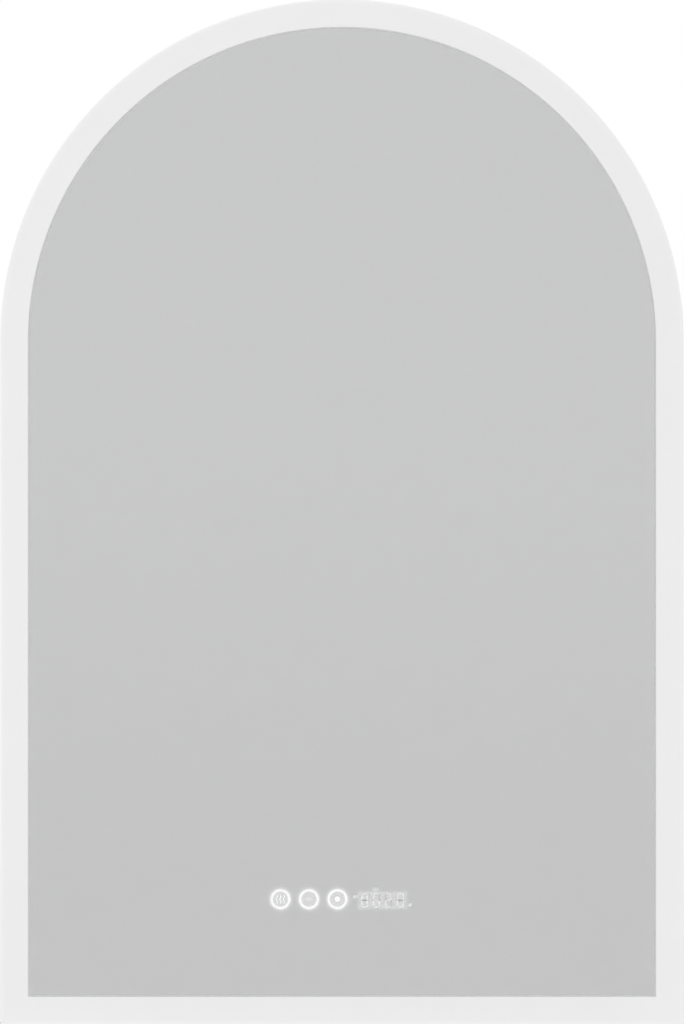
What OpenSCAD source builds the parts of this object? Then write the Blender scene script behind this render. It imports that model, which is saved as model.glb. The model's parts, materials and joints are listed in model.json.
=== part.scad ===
// Arched smart mirror. A silvered glass plate sits in a lit opal border, on a bent aluminium
// channel with its electrics behind a rear panel, and hangs on a two-part wall rail.
// Sizes are millimetres. X runs to the right as seen from the front, Y towards the wall, Z up.
// The origin lies on the wall, at the middle of the wall rail's screw line.
// Depths named d_ or called d are counted from the front face towards the wall, and insets
// named s_ or called s are counted inwards from the outer edge of the border.

/* [Outline] */
// Width across the border
mirror_w = 600; // [560:5:700]
// Height from the crown of the arch to the bottom edge
mirror_h = 900; // [860:5:1100]
// Depth from the wall to the front face
body_d = 45; // [44:0.5:52]
// Radius of the two bottom corners
corner_r = 2.5; // [2:0.25:2.75]
// Height of the crown above the wall rail's screw line
crown_h = 180; // [165:5:230]

/* [Lit border] */
// Visible width of the border
border_w = 24.5; // [23:0.25:30]
// Thickness of the border's acrylic
border_t = 10; // [9:0.25:11]
// Width of the ledge under the glass
ledge_w = 8; // [7.5:0.25:10]
// Rounding of the border's outer front edge
edge_r = 1.5; // [0.5:0.25:1.75]
// Chamfer along the border's inner front edge
border_arris = 0.3; // [0.1:0.1:0.6]
// Seam between the border and the glass
seam = 0.6; // [0.3:0.1:1.2]
// Depth of the groove that takes the channel's outer wall
groove_d = 3; // [2:0.25:4]
// Clearance on each side of that wall in the groove
groove_c = 0.15; // [0.05:0.05:0.2]

/* [Glass] */
// Thickness of the glass
glass_t = 5; // [4:0.25:5.5]
// Chamfer along the glass's front edge
glass_arris = 0.4; // [0.2:0.1:0.8]
// Thickness of the silver coat
silver_t = 0.1; // [0.05:0.05:0.2]
// Bare margin of glass outside the silver coat
silver_margin = 0.7; // [0.3:0.1:1.5]
// Thickness of the safety film on the coat
film_t = 0.3; // [0.2:0.05:0.5]
// Thickness of the foam tape under the glass
glass_tape_t = 0.8; // [0.5:0.1:1]
// Width of the foam tape under the glass
glass_tape_w = 5.5; // [4:0.5:6]
// Setback of every tape from the edge that it follows
tape_setback = 0.5; // [0.25:0.25:1]

/* [Channel] */
// Inset of the channel from the border's edge
channel_inset = 3; // [3:0.25:4]
// Wall thickness of the channel
wall_t = 1.6; // [1.2:0.1:2]
// Thickness of the tape between the border and the channel
channel_tape_t = 0.8; // [0.5:0.1:1.2]
// Width of the channel's inner flange
flange_w = 6; // [5:0.25:7]
// Width of the hollow rear edge
rear_edge_w = 13; // [12:0.5:14]
// Setback of the light strip behind the flange
led_setback = 3; // [2:0.5:4]
// Height of the ribs beside the light strip
rib_h = 0.8; // [0.4:0.1:1]
// Width of the ribs beside the light strip
rib_w = 0.9; // [0.6:0.1:1.2]
// Clearance of the light strip between its ribs
rib_c = 0.1; // [0.05:0.05:0.2]
// Length of each leg of a corner key
key_leg = 45; // [40:1:60]
// Clearance of a corner key in the hollow rear edge
key_c = 0.1; // [0.05:0.05:0.2]
// Thickness of the rubber wall bumpers
bumper_t = 1.5; // [1:0.25:2]
// Radius of the rubber wall bumpers
bumper_r = 4.5; // [3:0.25:5.5]

/* [Rear panel] */
// Space between the wall and the rear panel
recess_d = 12; // [11.5:0.25:13]
// Thickness of the rear panel
panel_t = 1.2; // [0.8:0.1:1.6]
// Gap between the panel's edge and the channel
panel_gap = 0.8; // [0.5:0.1:1.5]
// Thickness of the foam gasket
gasket_t = 0.8; // [0.5:0.1:1]
// Width of the foam gasket
gasket_w = 5; // [4:0.25:6]
// Height of the pressed stiffening beads
bead_h = 2.5; // [2:0.1:3]
// Width of the pressed stiffening beads
bead_w = 14; // [10:0.5:18]
// Offset of the beads from the centre line
bead_x = 190; // [184:1:200]
// Height of one louvre's opening
vent_w = 3; // [2:0.25:3.5]
// Length of one louvre's opening
vent_l = 56; // [40:1:80]
// Spacing of the louvres
vent_pitch = 9; // [8:0.25:10]
// Louvres in a group
vent_n = 4; // [2:1:4]

/* [Wall rail] */
// Width of the wall rail
wall_rail_w = 300; // [290:5:320]
// Width of the hanger rail
hanger_w = 280; // [260:5:300]
// Thickness of both rails
rail_t = 2.5; // [2:0.1:2.6]
// Height of the wall rail's flat plate
rail_plate_h = 28; // [24:1:30]
// Length of the wall rail's upright lip
lip_h = 12; // [11:0.5:14]
// Overlap of the two lips when hung
lip_grip = 10; // [7:0.5:10.5]
// Height of the hanger rail's flat plate
hanger_plate_h = 24; // [20:1:28]
// Gap between the hanger's lip and the wall
lip_wall_c = 1; // [0.6:0.1:1.2]
// Running clearance between the two lips
lip_c = 0.5; // [0.3:0.1:0.7]
// Radius of the wall rail's screw holes
wall_hole_r = 2.75; // [2.25:0.25:3.25]
// Spacing of the wall rail's outer pair of holes
outer_hole_pitch = 240; // [200:5:260]
// Spacing of the wall rail's inner pair of holes
inner_hole_pitch = 80; // [60:5:120]
// Radius of the hanger rail's rivets
rivet_r = 2.4; // [2:0.1:2.6]
// Thickness of the backing strip behind the hanger rail
backing_t = 2; // [1.5:0.1:3]

/* [Controls] */
// Height of the touch rings above the bottom edge
button_h = 110; // [100:5:140]
// Spacing of the touch rings
button_pitch = 25; // [24.5:0.25:26]
// Offset of the middle touch ring from the centre line
button_x = -29; // [-31:0.5:-29]
// Outer radius of a touch ring
ring_r = 8.5; // [7.5:0.25:9.25]
// Stroke of a touch ring
ring_stroke = 1.6; // [1:0.1:2.2]
// Offset of the display from the centre line
display_x = 35.5; // [35.5:0.5:37]
// Drop of the display's middle below the touch rings
display_drop = 1; // [0:0.25:2]
// Height of a digit
digit_h = 13.5; // [10:0.5:13.5]
// Width of a digit
digit_w = 6.4; // [5.5:0.1:6.6]
// Stroke of a digit's segments
segment_w = 1.5; // [1:0.1:1.7]
// Spacing of the digits
digit_pitch = 10.5; // [9.5:0.25:11]
// Digits shown
digits = [0, 6, 2, 0];
// Width of the control housing
housing_w = 144; // [140:1:150]
// Height of the control housing
housing_h = 42; // [40:0.5:46]
// Depth of the control housing
housing_d = 15; // [14:0.5:16]
// Wall of the control housing
housing_wall = 1.6; // [1.2:0.1:2]
// Thickness of the tape that holds the housing to the glass
module_tape_t = 0.8; // [0.5:0.1:1]
// Distance from the housing's deck to the control board
board_rise = 7.8; // [7:0.1:8.5]
// Thickness of the control board
board_t = 1.6; // [1:0.1:2]

/* [Electrics] */
// Width of the demister pad
pad_w = 300; // [240:10:320]
// Height of the demister pad
pad_h = 360; // [300:10:370]
// Thickness of the demister pad
pad_t = 0.3; // [0.2:0.05:0.5]
// Spacing of the demister's foil tracks
track_pitch = 20; // [15:1:30]
// Width of the demister's foil tracks
track_w = 3; // [2:0.25:5]
// Spacing of the light strip's chips
led_pitch = 20; // [12:0.5:30]
// Width of the light strip
strip_w = 10; // [8:0.5:12]
// Thickness of the light strip
strip_t = 0.3; // [0.2:0.05:0.5]
// Length of the driver's case
driver_l = 150; // [120:5:160]
// Width of the driver's case
driver_w = 42; // [40:1:48]
// Height of the driver's case off the panel
driver_h = 20; // [19:0.5:22]
// Height of the driver above the touch rings
driver_rise = 115; // [112:1:130]
// Width of the terminal box's opening
terminal_w = 88; // [86:1:89]
// Height of the terminal box's opening
terminal_h = 52; // [50:1:56]
// Depth of the terminal box in front of the panel
terminal_d = 13.6; // [13:0.2:15]
// Wall of the terminal box
terminal_wall = 1.6; // [1.2:0.1:2]
// Height of the terminal box above the driver
terminal_rise = 150; // [145:5:160]
// Offset of the terminal box from the centre line
terminal_x = 118; // [116:1:122]
// Outside diameter of the insulated wires
wire_d = 2.6; // [2:0.1:3]
// Bend radius of the wires
bend_r = 6; // [5:0.5:6.5]
// Bore radius of the cable grommet
grommet_r = 4.5; // [3.5:0.25:4.75]

/* [Hidden] */
$fn = 64;
arch_fn = 240;
over = 1;                 // how far a cutter reaches past what it cuts
screw_c = 0.05;           // clearance round the shank of a screw, bolt or rivet

// Outline
half_w = mirror_w / 2;
z_bottom = crown_h - mirror_h;
arch_z = crown_h - half_w;

// Depth stations, from the front face
d_silver = glass_t;
d_film = d_silver + silver_t;
d_film_back = d_film + film_t;
d_ledge = d_film_back + glass_tape_t;
d_groove = border_t - groove_d;
d_flange = border_t + channel_tape_t;
d_led = d_flange + wall_t + led_setback;
d_led_mid = d_led + strip_w / 2;
d_rear = body_d - bumper_t;
d_panel_back = body_d - recess_d;
d_panel = d_panel_back - panel_t;
d_gasket = d_panel - gasket_t;
d_web = d_gasket - wall_t;

// Insets, from the border's outer edge
s_glass = border_w + seam;
s_silver = s_glass + silver_margin;
s_inner = border_w + ledge_w;
s_led_wall = s_inner - wall_t;
s_strip = s_led_wall - strip_t;
s_rear_edge = channel_inset + rear_edge_w;
s_rear_mid = channel_inset + rear_edge_w / 2;
s_panel = s_rear_edge + panel_gap;
s_gasket = s_inner - tape_setback - gasket_w;
s_panel_screw = (s_panel + s_gasket) / 2;

// Screws of the rear panel, round the channel
panel_screw_r = 1.6;
panel_head_r = 3;
panel_head_h = 2.2;
panel_screw_l = 8;
side_screw_drop = 40;     // from the arch's centre down to the highest side screw
side_screw_foot = 80;     // from the bottom edge up to the lowest one
foot_screw_share = 0.66;  // of the half width, out to the outer screws of the bottom edge
screw_reach = half_w - s_panel_screw;
screw_side_top = arch_z - side_screw_drop;
screw_side_step = (screw_side_top - z_bottom - side_screw_foot) / 2;
panel_screw_points = concat(
    [for (a = [15:30:165]) [screw_reach * cos(a), arch_z + screw_reach * sin(a)]],
    [for (i = [0:2], side = [-1, 1]) [side * screw_reach, screw_side_top - i * screw_side_step]],
    [for (side = [-1:1]) [side * screw_reach * foot_screw_share, z_bottom + s_panel_screw]]
);

// Stiffening beads, louvres and wall bumpers
bead_end = 20;            // from the arch's centre and from the touch rings to the beads' ends
louvre_gap_low = 8;
louvre_gap_high = 12;
bumper_rise = 130;        // from the bottom edge to the lower bumpers
bumper_angle = 42;        // of the upper bumpers on the arch

// Corner keys and their countersunk screws
corner_screw_r = 1.45;
corner_head_r = 2.6;
corner_screw_l = 7.5;
corner_screw_s = s_rear_mid + key_leg * 0.62;
corner_screw_points = [for (side = [-1, 1]) for (p = [
    [half_w - s_rear_mid, z_bottom + corner_screw_s],
    [half_w - corner_screw_s, z_bottom + s_rear_mid]
]) [side * p.x, p.y]];

// Wall rail and hanger rail, worked out from the wall towards the front
lip_y = lip_wall_c + rail_t + lip_c;            // wall side of the wall rail's lip
rail_top = rail_plate_h / 2;                    // where the wall rail's plate starts to lean
lip_foot = rail_top + lip_y;                    // foot of the upright lip
lip_top = lip_foot + lip_h;                     // the hanger rail rests here
bend_drop = rail_t * tan(22.5);                 // keeps the wall even round a 45 degree bend
hook_y = lip_wall_c + rail_t;                   // front side of the hanger's lip
hanger_foot = lip_top + rail_t;                 // where the hanger's flat plate starts
hanger_top = hanger_foot + hanger_plate_h;
hanger_mid = (hanger_foot + hanger_top) / 2;
rivet_edge = 20;          // from the rail's end to its last rivet
backing_lap = 10;         // of the backing strip past each end of the rail
rivet_xs = [for (i = [-2:2]) i * (hanger_w - 2 * rivet_edge) / 4];
rivet_head_r = 4.75;
rivet_head_h = 1.4;
rivet_tail_h = 3;

// Touch rings, display and their housing
z_button = z_bottom + button_h;
z_display = z_button - display_drop;
button_xs = [for (i = [-1:1]) button_x + i * button_pitch];
diffuser_r = ring_r + 0.8;
diffuser_flange_r = diffuser_r + 1;
diffuser_flange_t = 1;
deck_hole_r = diffuser_r + 0.2;
well_r = diffuser_flange_r + 0.3;
well_wall = 0.9;
foil_r = deck_hole_r + 2.2;
foil_t = 0.15;
foil_tab_w = 4;
pin_reach = well_r + well_wall + 2.3;
pin_r = 1.2;
display_w = 4 * digit_pitch + 10;
display_h = digit_h + 9;
display_c = 0.5;
segment_gap = 0.5;        // from the silver coat back to the lit segments
segment_t = 0.3;
segment_break = 0.25;     // left between two neighbouring segments
housing_r = 4;
tape_side = 3;
d_deck = d_film_back + module_tape_t;
d_well = d_deck + housing_wall;
d_board = d_deck + board_rise;
d_board_back = d_board + board_t;
d_cover = d_deck + housing_d;
cover_t = housing_wall;
d_segments = d_film + segment_gap;
d_display = d_segments + segment_t;
boss_r = 2.8;
cover_screw_r = 1.25;
cover_screw_l = 8;
boss_x = housing_w / 2 - housing_wall - boss_r - 0.5;
boss_z = housing_h / 2 - housing_wall - boss_r - 0.5;
boss_xs = [-boss_x, boss_x];
boss_zs = [-boss_z, boss_z];
plug_inset = 20;
plug_x = -housing_w / 2 + plug_inset;
plug_size = [8, 6];
plug_h = 5;
plug_rise = 6;
plug_zs = [-plug_rise, plug_rise];    // demister lead below, control lead above
d_plug = d_board_back + plug_h / 2;
part_rise = 3;            // of the larger board parts above the middle
processor_x = -20;
processor_w = 10;
processor_h = 1.4;
relay_x = 40;
relay_w = 19;
relay_l = 15;
relay_h = 5;
small_part_x1 = -32;
small_part_x2 = 24;
small_part_x3 = 58;
small_part_drop = 9;
small_part_w = 5;
small_part_l = 4;
small_part_h = 1.2;
battery_x = 6;
battery_r = 8;
battery_h = 3.2;
holder_r = 10;
holder_h = 1;
segment_on = [            // segments a to g of each digit from 0 to 9
    [1, 1, 1, 1, 1, 1, 0], [0, 1, 1, 0, 0, 0, 0], [1, 1, 0, 1, 1, 0, 1], [1, 1, 1, 1, 0, 0, 1],
    [0, 1, 1, 0, 0, 1, 1], [1, 0, 1, 1, 0, 1, 1], [1, 0, 1, 1, 1, 1, 1], [1, 1, 1, 0, 0, 0, 0],
    [1, 1, 1, 1, 1, 1, 1], [1, 1, 1, 1, 0, 1, 1]
];

// Demister
pad_drop = 130;           // from the arch's centre to the pad's
pad_z = arch_z - pad_drop;
pad_corner_r = 8;
pad_margin = 12;
track_t = 0.1;
d_track = d_film_back + pad_t;
d_joint = d_track + track_t;
joint_size = [22, 10];
joint_h = 4.1;
joint_rise = 10;          // from the pad's lower edge to the joint
joint_z = pad_z - pad_h / 2 + joint_rise;

// Driver
z_driver = z_button + driver_rise;
d_driver = d_panel - driver_h;
driver_r = 3;
driver_groove = 1.2;
cap_t = 6;
ear_l = 12;
ear_w = 14;
ear_t = 2.5;
driver_face = driver_l / 2 + cap_t;
driver_bolt_x = driver_face + ear_l / 2;
driver_bolt_r = 1.5;
nut_t = 2.4;
nut_r = 3.1;

// Terminal box and what it holds
z_terminal = z_driver + terminal_rise;
d_terminal = d_panel - terminal_d;
terminal_r = 4;
box_w = terminal_w + 2 * terminal_wall;
box_h = terminal_h + 2 * terminal_wall;
box_flange = 7;
box_flange_t = 2;
access_lap = 7.5;
access_screw_r = 1.5;
access_screw_x = terminal_w / 2 + terminal_wall + 2.4;
access_screw_z = terminal_h / 2 - 6;
access_xs = [terminal_x - access_screw_x, terminal_x + access_screw_x];
access_zs = [z_terminal - access_screw_z, z_terminal + access_screw_z];
grommet_inset = 20;       // from the side of the terminal box
entry_rise = 6;           // of the grommet and the cable clamp above the box's middle
grommet_x = terminal_x + terminal_w / 2 - grommet_inset;
grommet_z = z_terminal + entry_rise;
grommet_neck_r = grommet_r + 2.2;
grommet_c = 0.05;         // clearance of its neck in the cover
grommet_flange_r = grommet_r + 4;
grommet_flange_t = 2.2;
block_w = 36;
block_l = 18;
block_h = 11;
block_x = terminal_x - terminal_w / 2 + block_w / 2 + 8;
block_z = z_terminal - 4;
pole_pitch = 11;
pole_xs = [for (i = [-1:1]) block_x + i * pole_pitch];
pole_bore = 5;
pole_screw_r = 2.2;
pole_screw_h = 3.4;
clamp_x = block_x + block_w / 2 + 8;
clamp_z = z_terminal + entry_rise;
clamp_l = 30;
clamp_w = 8;
clamp_h = 8;
clamp_screw_r = 1.4;
clamp_screw_zs = [clamp_z - clamp_l / 2 + 4, clamp_z + clamp_l / 2 - 4];

// Earth stud
wire_r = wire_d / 2;
earth_run = 24;           // from the earth pole and from the box's opening
earth_x = pole_xs[0] - earth_run;
earth_z = z_terminal - terminal_h / 2 - earth_run;
earth_r = 2;
earth_l = 9;
lug_t = 1;
lug_r = 4;
lug_barrel_r = wire_r + 0.7;
lug_barrel_l = 7;
lug_bite = 3;             // of the barrel on the wire
earth_nut_t = 3.2;
earth_nut_r = 4;
barrel_x = earth_x + earth_nut_r + 0.8;
crimp_x = barrel_x + lug_barrel_l - lug_bite;

// Wires
wire_hole_r = wire_r + 0.3;
wire_touch = 0.1;         // clearance of a wire in a clip or a terminal
d_wire = d_terminal + 5;
d_run = d_panel - wire_r - 1.7;
d_glass_run = d_film_back + wire_r + 1.2;
wire_rise = 12;           // of each pair of wires above and below the driver's middle
z_block_foot = block_z - block_l / 2 + pole_bore;
control_x = -driver_face - 24;
demister_x = control_x - 14;
led_turn_x = -half_w + s_inner + 28;
clip_l = 8;
clip_w = wire_d + 4;
clip_cover = 1.2;
plug_fall = 40;           // above the plugs, where a lead leaves its run
plug_turn = 15;           // above the plugs, where it reaches their depth
clip_from_lead = 22;
clip_from_turn = 12;
led_clip_xs = [demister_x - clip_from_lead, led_turn_x + clip_from_turn];

// Places a 2D shape, drawn as seen from the front, between two depths
module slab(d0, d1) {
    translate([0, d1 - body_d, 0]) rotate([90, 0, 0]) linear_extrude(d1 - d0) children();
}

// Places a solid drawn along +Z so that it runs from a depth towards the wall
module towards_wall(x, z, d) {
    translate([x, d - body_d, z]) rotate([-90, 0, 0]) children();
}

module rounded(w, h, r) {
    square([w - 2 * r, h], center = true);
    square([w, h - 2 * r], center = true);
    for (x = [-1, 1], y = [-1, 1]) translate([x * (w / 2 - r), y * (h / 2 - r)]) circle(r);
}

module stadium(l, w) {
    square([w, l - w], center = true);
    for (side = [-1, 1]) translate([0, side * (l - w) / 2]) circle(w / 2);
}

// The arch outline at an inset from the border's edge
module arch(s = 0) {
    r = half_w - s;
    translate([0, arch_z]) intersection() {
        circle(r, $fn = arch_fn);
        translate([-half_w - over, 0]) square([mirror_w + 2 * over, half_w + over]);
    }
    translate([-r, z_bottom + s]) square([2 * r, arch_z - z_bottom - s]);
}

module arch_ring(s0, s1) {
    difference() {
        arch(s0);
        arch(s1);
    }
}

// A point of a profile that the sweeps below carry round the outline
function at(s, d) = [-s, -d];

module sweep_frame() {
    translate([0, -body_d, 0]) rotate([90, 0, 0]) children();
}

// Carries a profile round the arch's crown
module sweep_crown() {
    sweep_frame() translate([0, arch_z, 0])
        rotate_extrude(angle = 180, $fn = arch_fn) translate([half_w, 0]) children();
}

// Carries it down the two straight sides, to a height above the bottom edge
module sweep_sides(stop) {
    for (side = [0, 1]) mirror([side, 0, 0]) sweep_frame() translate([half_w, arch_z, 0])
        rotate([90, 0, 0]) linear_extrude(arch_z - z_bottom - stop) children();
}

// Carries it along the bottom edge, stopping short of both sides
module sweep_bottom(stop) {
    sweep_frame() rotate([0, 0, -90]) translate([-z_bottom, half_w - stop, 0])
        rotate([90, 0, 0]) linear_extrude(mirror_w - 2 * stop) children();
}

// Everything on one side of the two 45 degree mitres at the bottom
module mitre_waste(angle) {
    for (side = [0, 1]) mirror([side, 0, 0]) sweep_frame()
        translate([half_w, z_bottom, -body_d - over]) rotate([0, 0, angle])
        cube([2 * s_inner, 2 * s_inner, body_d + 2 * over]);
}

// The crown and both sides in one piece, mitred at the bottom
module swept_arch() {
    difference() {
        union() {
            sweep_crown() children();
            sweep_sides(0) children();
        }
        mitre_waste(135);
    }
}

module swept_bottom() {
    difference() {
        sweep_bottom(0) children();
        mitre_waste(45);
    }
}

// Cuts a chamfer along the whole front edge of a plate whose edge lies at an inset
module arris_cut(s, size) {
    run = s - over;
    sweep_crown() arris_waste(s, size);
    sweep_sides(run) arris_waste(s, size);
    sweep_bottom(run) arris_waste(s, size);
}

module arris_waste(s, size) {
    polygon([at(s - size, -size), at(s - size, 2 * size), at(s + 2 * size, -size)]);
}

// A screw, bolt or rivet whose head seats at a depth, with its shank towards the front
module screw(x, z, d, l, r, head_r, head_h, crossed = true) {
    recess_w = head_r * 0.24;
    towards_wall(x, z, d) difference() {
        union() {
            translate([0, 0, -l]) cylinder(h = l, r = r);
            cylinder(h = head_h * 0.4, r = head_r);
            translate([0, 0, head_h * 0.4]) cylinder(h = head_h * 0.6, r1 = head_r, r2 = head_r * 0.6);
        }
        if (crossed) for (turn = [0, 90]) rotate([0, 0, turn])
            translate([-head_r / 2, -recess_w / 2, head_h / 2]) cube([head_r, recess_w, head_h]);
    }
}

function unit(v) = v / norm(v);

// The route of a wire as [place, direction] pairs, with an even bend at each inner point
function bend_steps(before, corner, after, bend, steps) =
    let (back = unit(before - corner), on = unit(after - corner), turn = 180 - acos(back * on),
         centre = corner + unit(back + on) * bend / cos(turn / 2),
         start = corner + back * bend * tan(turn / 2) - centre, side = -back * bend)
    [for (i = [0:steps]) let (a = turn * i / steps)
        [centre + start * cos(a) + side * sin(a), unit(side * cos(a) - start * sin(a))]];

function route(p, bend) = concat(
    [[p[0], unit(p[1] - p[0])]],
    [for (i = [1:1:len(p) - 2]) each bend_steps(p[i - 1], p[i], p[i + 1], bend, 6)],
    [[p[len(p) - 1], unit(p[len(p) - 1] - p[len(p) - 2])]]
);

// A round wire through points of x, depth and z
module wire(points, bend = bend_r) {
    sides = 12;
    steps = route([for (q = points) [q.x, q.y - body_d, q.z]], bend);
    last = len(steps) - 1;
    rings = [for (s = steps) let (u = unit(cross(s[1], [0, 1, 0])), v = cross(u, s[1]))
        for (k = [0:sides - 1]) s[0] + wire_r * (u * cos(360 * k / sides) + v * sin(360 * k / sides))];
    polyhedron(rings, concat(
        [[for (k = [0:sides - 1]) k]],
        [[for (k = [sides - 1:-1:0]) last * sides + k]],
        [for (i = [0:last - 1], k = [0:sides - 1]) let (a = i * sides, n = (k + 1) % sides)
            each [[a + k, a + sides + k, a + sides + n], [a + k, a + sides + n, a + n]]]
    ));
}

// Wall rail and hanger rail

module rail(width, holes, hole_r, hole_z) {
    difference() {
        translate([-width / 2, 0, 0]) rotate([90, 0, 90]) linear_extrude(width) children();
        for (x = holes) translate([x, over, hole_z]) rotate([90, 0, 0])
            cylinder(h = recess_d + 2 * over, r = hole_r);
    }
}

module wall_rail() {
    holes = [for (pitch = [outer_hole_pitch, inner_hole_pitch], side = [-1, 1]) side * pitch / 2];
    color("silver") rail(wall_rail_w, holes, wall_hole_r, 0) polygon([
        [0, -rail_plate_h / 2], [0, rail_top], [-lip_y, lip_foot], [-lip_y, lip_top],
        [-lip_y - rail_t, lip_top], [-lip_y - rail_t, lip_foot - bend_drop],
        [-rail_t, rail_top - bend_drop], [-rail_t, -rail_plate_h / 2]
    ]);
}

module hanger_rail() {
    hook_foot = lip_top - lip_grip;
    color("gainsboro") rail(hanger_w, rivet_xs, rivet_r + screw_c, hanger_mid) polygon([
        [-lip_wall_c, hook_foot], [-lip_wall_c, hanger_foot], [rail_t - recess_d, hanger_foot],
        [rail_t - recess_d, hanger_top], [-recess_d, hanger_top],
        [-recess_d, lip_top], [-hook_y, lip_top], [-hook_y, hook_foot]
    ]);
}

module hanger_backing() {
    color("lightsteelblue") slab(d_panel - backing_t, d_panel) difference() {
        translate([0, hanger_mid]) square([hanger_w + 2 * backing_lap, hanger_plate_h], center = true);
        for (x = rivet_xs) translate([x, hanger_mid]) circle(rivet_r + screw_c);
    }
}

module hanger_rivets() {
    color("silver") for (x = rivet_xs) {
        screw(x, hanger_mid, d_panel_back + rail_t, rail_t + panel_t + backing_t, rivet_r,
              rivet_head_r, rivet_head_h, crossed = false);
        towards_wall(x, hanger_mid, d_panel - backing_t - rivet_tail_h)
            cylinder(h = rivet_tail_h, r1 = rivet_r, r2 = rivet_r * 1.5);
    }
}

// Rear panel

module bead_shape(w) {
    length = arch_z - z_button - 2 * bead_end;
    for (side = [-1, 1]) translate([side * bead_x, (z_button + arch_z) / 2]) stadium(length, w);
}

// Lowest louvre of each group, one group below the driver and one above it
louvre_run = vent_n * vent_pitch;
louvre_low = z_driver - driver_w / 2 - louvre_gap_low - louvre_run;
louvre_high = z_driver + driver_w / 2 + louvre_gap_high;

module each_louvre() {
    for (foot = [louvre_low, louvre_high], i = [0:vent_n - 1])
        translate([0, d_panel_back - body_d, foot + i * vent_pitch]) rotate([90, 0, 90]) children();
}

module quarter_disc(r) {
    intersection() {
        circle(r);
        square(r + over);
    }
}

module rear_panel() {
    hood_r = vent_w + panel_t;
    color("whitesmoke") difference() {
        union() {
            slab(d_panel, d_panel_back) arch(s_panel);
            slab(d_panel_back, d_panel_back + bead_h) bead_shape(bead_w);
            each_louvre() translate([0, 0, -vent_l / 2 - panel_t]) linear_extrude(vent_l + 2 * panel_t)
                quarter_disc(hood_r);
        }
        slab(d_panel - over, d_panel_back + bead_h - panel_t) bead_shape(bead_w - 2 * panel_t);
        each_louvre() translate([0, 0, -vent_l / 2]) linear_extrude(vent_l) {
            quarter_disc(vent_w);
            translate([-panel_t - over, 0]) square([panel_t + 2 * over, vent_w]);
            translate([0, -over]) square([vent_w, 2 * over]);
        }
        slab(d_panel - over, d_panel_back + over) {
            for (p = panel_screw_points) translate(p) circle(panel_screw_r + screw_c);
            for (x = rivet_xs) translate([x, hanger_mid]) circle(rivet_r + screw_c);
            for (side = [-1, 1]) translate([side * driver_bolt_x, z_driver])
                circle(driver_bolt_r + screw_c);
            translate([terminal_x, z_terminal]) rounded(terminal_w, terminal_h, terminal_r);
            for (x = access_xs, z = access_zs) translate([x, z]) circle(access_screw_r + screw_c);
        }
    }
}

module panel_gasket() {
    color("dimgray") slab(d_gasket, d_panel) arch_ring(s_gasket, s_gasket + gasket_w);
}

module panel_screws() {
    color("silver") for (p = panel_screw_points)
        screw(p.x, p.y, d_panel_back, panel_screw_l, panel_screw_r, panel_head_r, panel_head_h);
}

// Channel: an outer wall with a hollow rear edge, a web behind the light, and an inner wall
// with a flange under the border and two ribs that guide the light strip

module channel_profile() {
    outer = channel_inset + wall_t;
    inner = s_rear_edge - wall_t;
    difference() {
        polygon([
            at(channel_inset, d_groove), at(outer, d_groove), at(outer, d_web), at(s_led_wall, d_web),
            at(s_led_wall, d_flange + wall_t), at(s_inner - flange_w, d_flange + wall_t),
            at(s_inner - flange_w, d_flange), at(s_inner, d_flange), at(s_inner, d_gasket),
            at(s_rear_edge, d_gasket), at(s_rear_edge, d_rear), at(channel_inset, d_rear)
        ]);
        polygon([
            at(outer, d_gasket), at(inner, d_gasket), at(inner, d_rear - wall_t), at(outer, d_rear - wall_t)
        ]);
    }
    for (d = [d_led - rib_c - rib_w, d_led + strip_w + rib_c]) polygon([
        at(s_led_wall - rib_h, d), at(s_led_wall, d),
        at(s_led_wall, d + rib_w), at(s_led_wall - rib_h, d + rib_w)
    ]);
}

// The shank and countersunk head of every corner screw, with a clearance for its holes
module corner_screw_shapes(c) {
    sink = corner_head_r - corner_screw_r;
    for (p = corner_screw_points) towards_wall(p.x, p.y, d_rear) {
        translate([0, 0, -corner_screw_l]) cylinder(h = corner_screw_l, r = corner_screw_r + c);
        translate([0, 0, -sink]) cylinder(h = sink, r1 = corner_screw_r + c, r2 = corner_head_r + c);
    }
}

module channel_screw_holes() {
    slab(d_web - over, d_gasket + over) for (p = panel_screw_points) translate(p)
        circle(panel_screw_r + screw_c);
    corner_screw_shapes(screw_c);
}

module frame_arch() {
    color("silver") difference() {
        swept_arch() channel_profile();
        channel_screw_holes();
        translate([-half_w + s_inner + over, d_led_mid - body_d, z_driver + wire_rise]) rotate([0, -90, 0])
            cylinder(h = wall_t + 2 * over, r = wire_hole_r);
    }
}

module frame_bottom() {
    color("gainsboro") difference() {
        swept_bottom() channel_profile();
        channel_screw_holes();
    }
}

module corner_keys() {
    outer = channel_inset + wall_t + key_c;
    width = rear_edge_w - 2 * (wall_t + key_c);
    color("darkgray") difference() {
        slab(d_gasket + key_c, d_rear - wall_t - key_c) for (side = [0, 1]) mirror([side, 0])
            translate([half_w - outer, z_bottom + outer]) {
                translate([-key_leg, 0]) square([key_leg, width]);
                translate([-width, 0]) square([width, key_leg]);
            }
        corner_screw_shapes(screw_c);
    }
}

module corner_screws() {
    slot_l = corner_head_r * 1.1;
    slot_w = corner_head_r * 0.22;
    color("silver") difference() {
        corner_screw_shapes(0);
        for (p = corner_screw_points, turn = [0, 90]) towards_wall(p.x, p.y, d_rear - 0.8)
            rotate([0, 0, turn]) translate([-slot_l / 2, -slot_w / 2, 0]) cube([slot_l, slot_w, over]);
    }
}

module wall_bumpers() {
    reach = half_w - s_rear_mid;
    color("dimgray") for (p = [[reach, z_bottom + bumper_rise],
        [reach * cos(bumper_angle), arch_z + reach * sin(bumper_angle)]], side = [-1, 1])
        towards_wall(side * p.x, p.y, d_rear) cylinder(h = bumper_t, r = bumper_r);
}

// Border and glass

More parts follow.
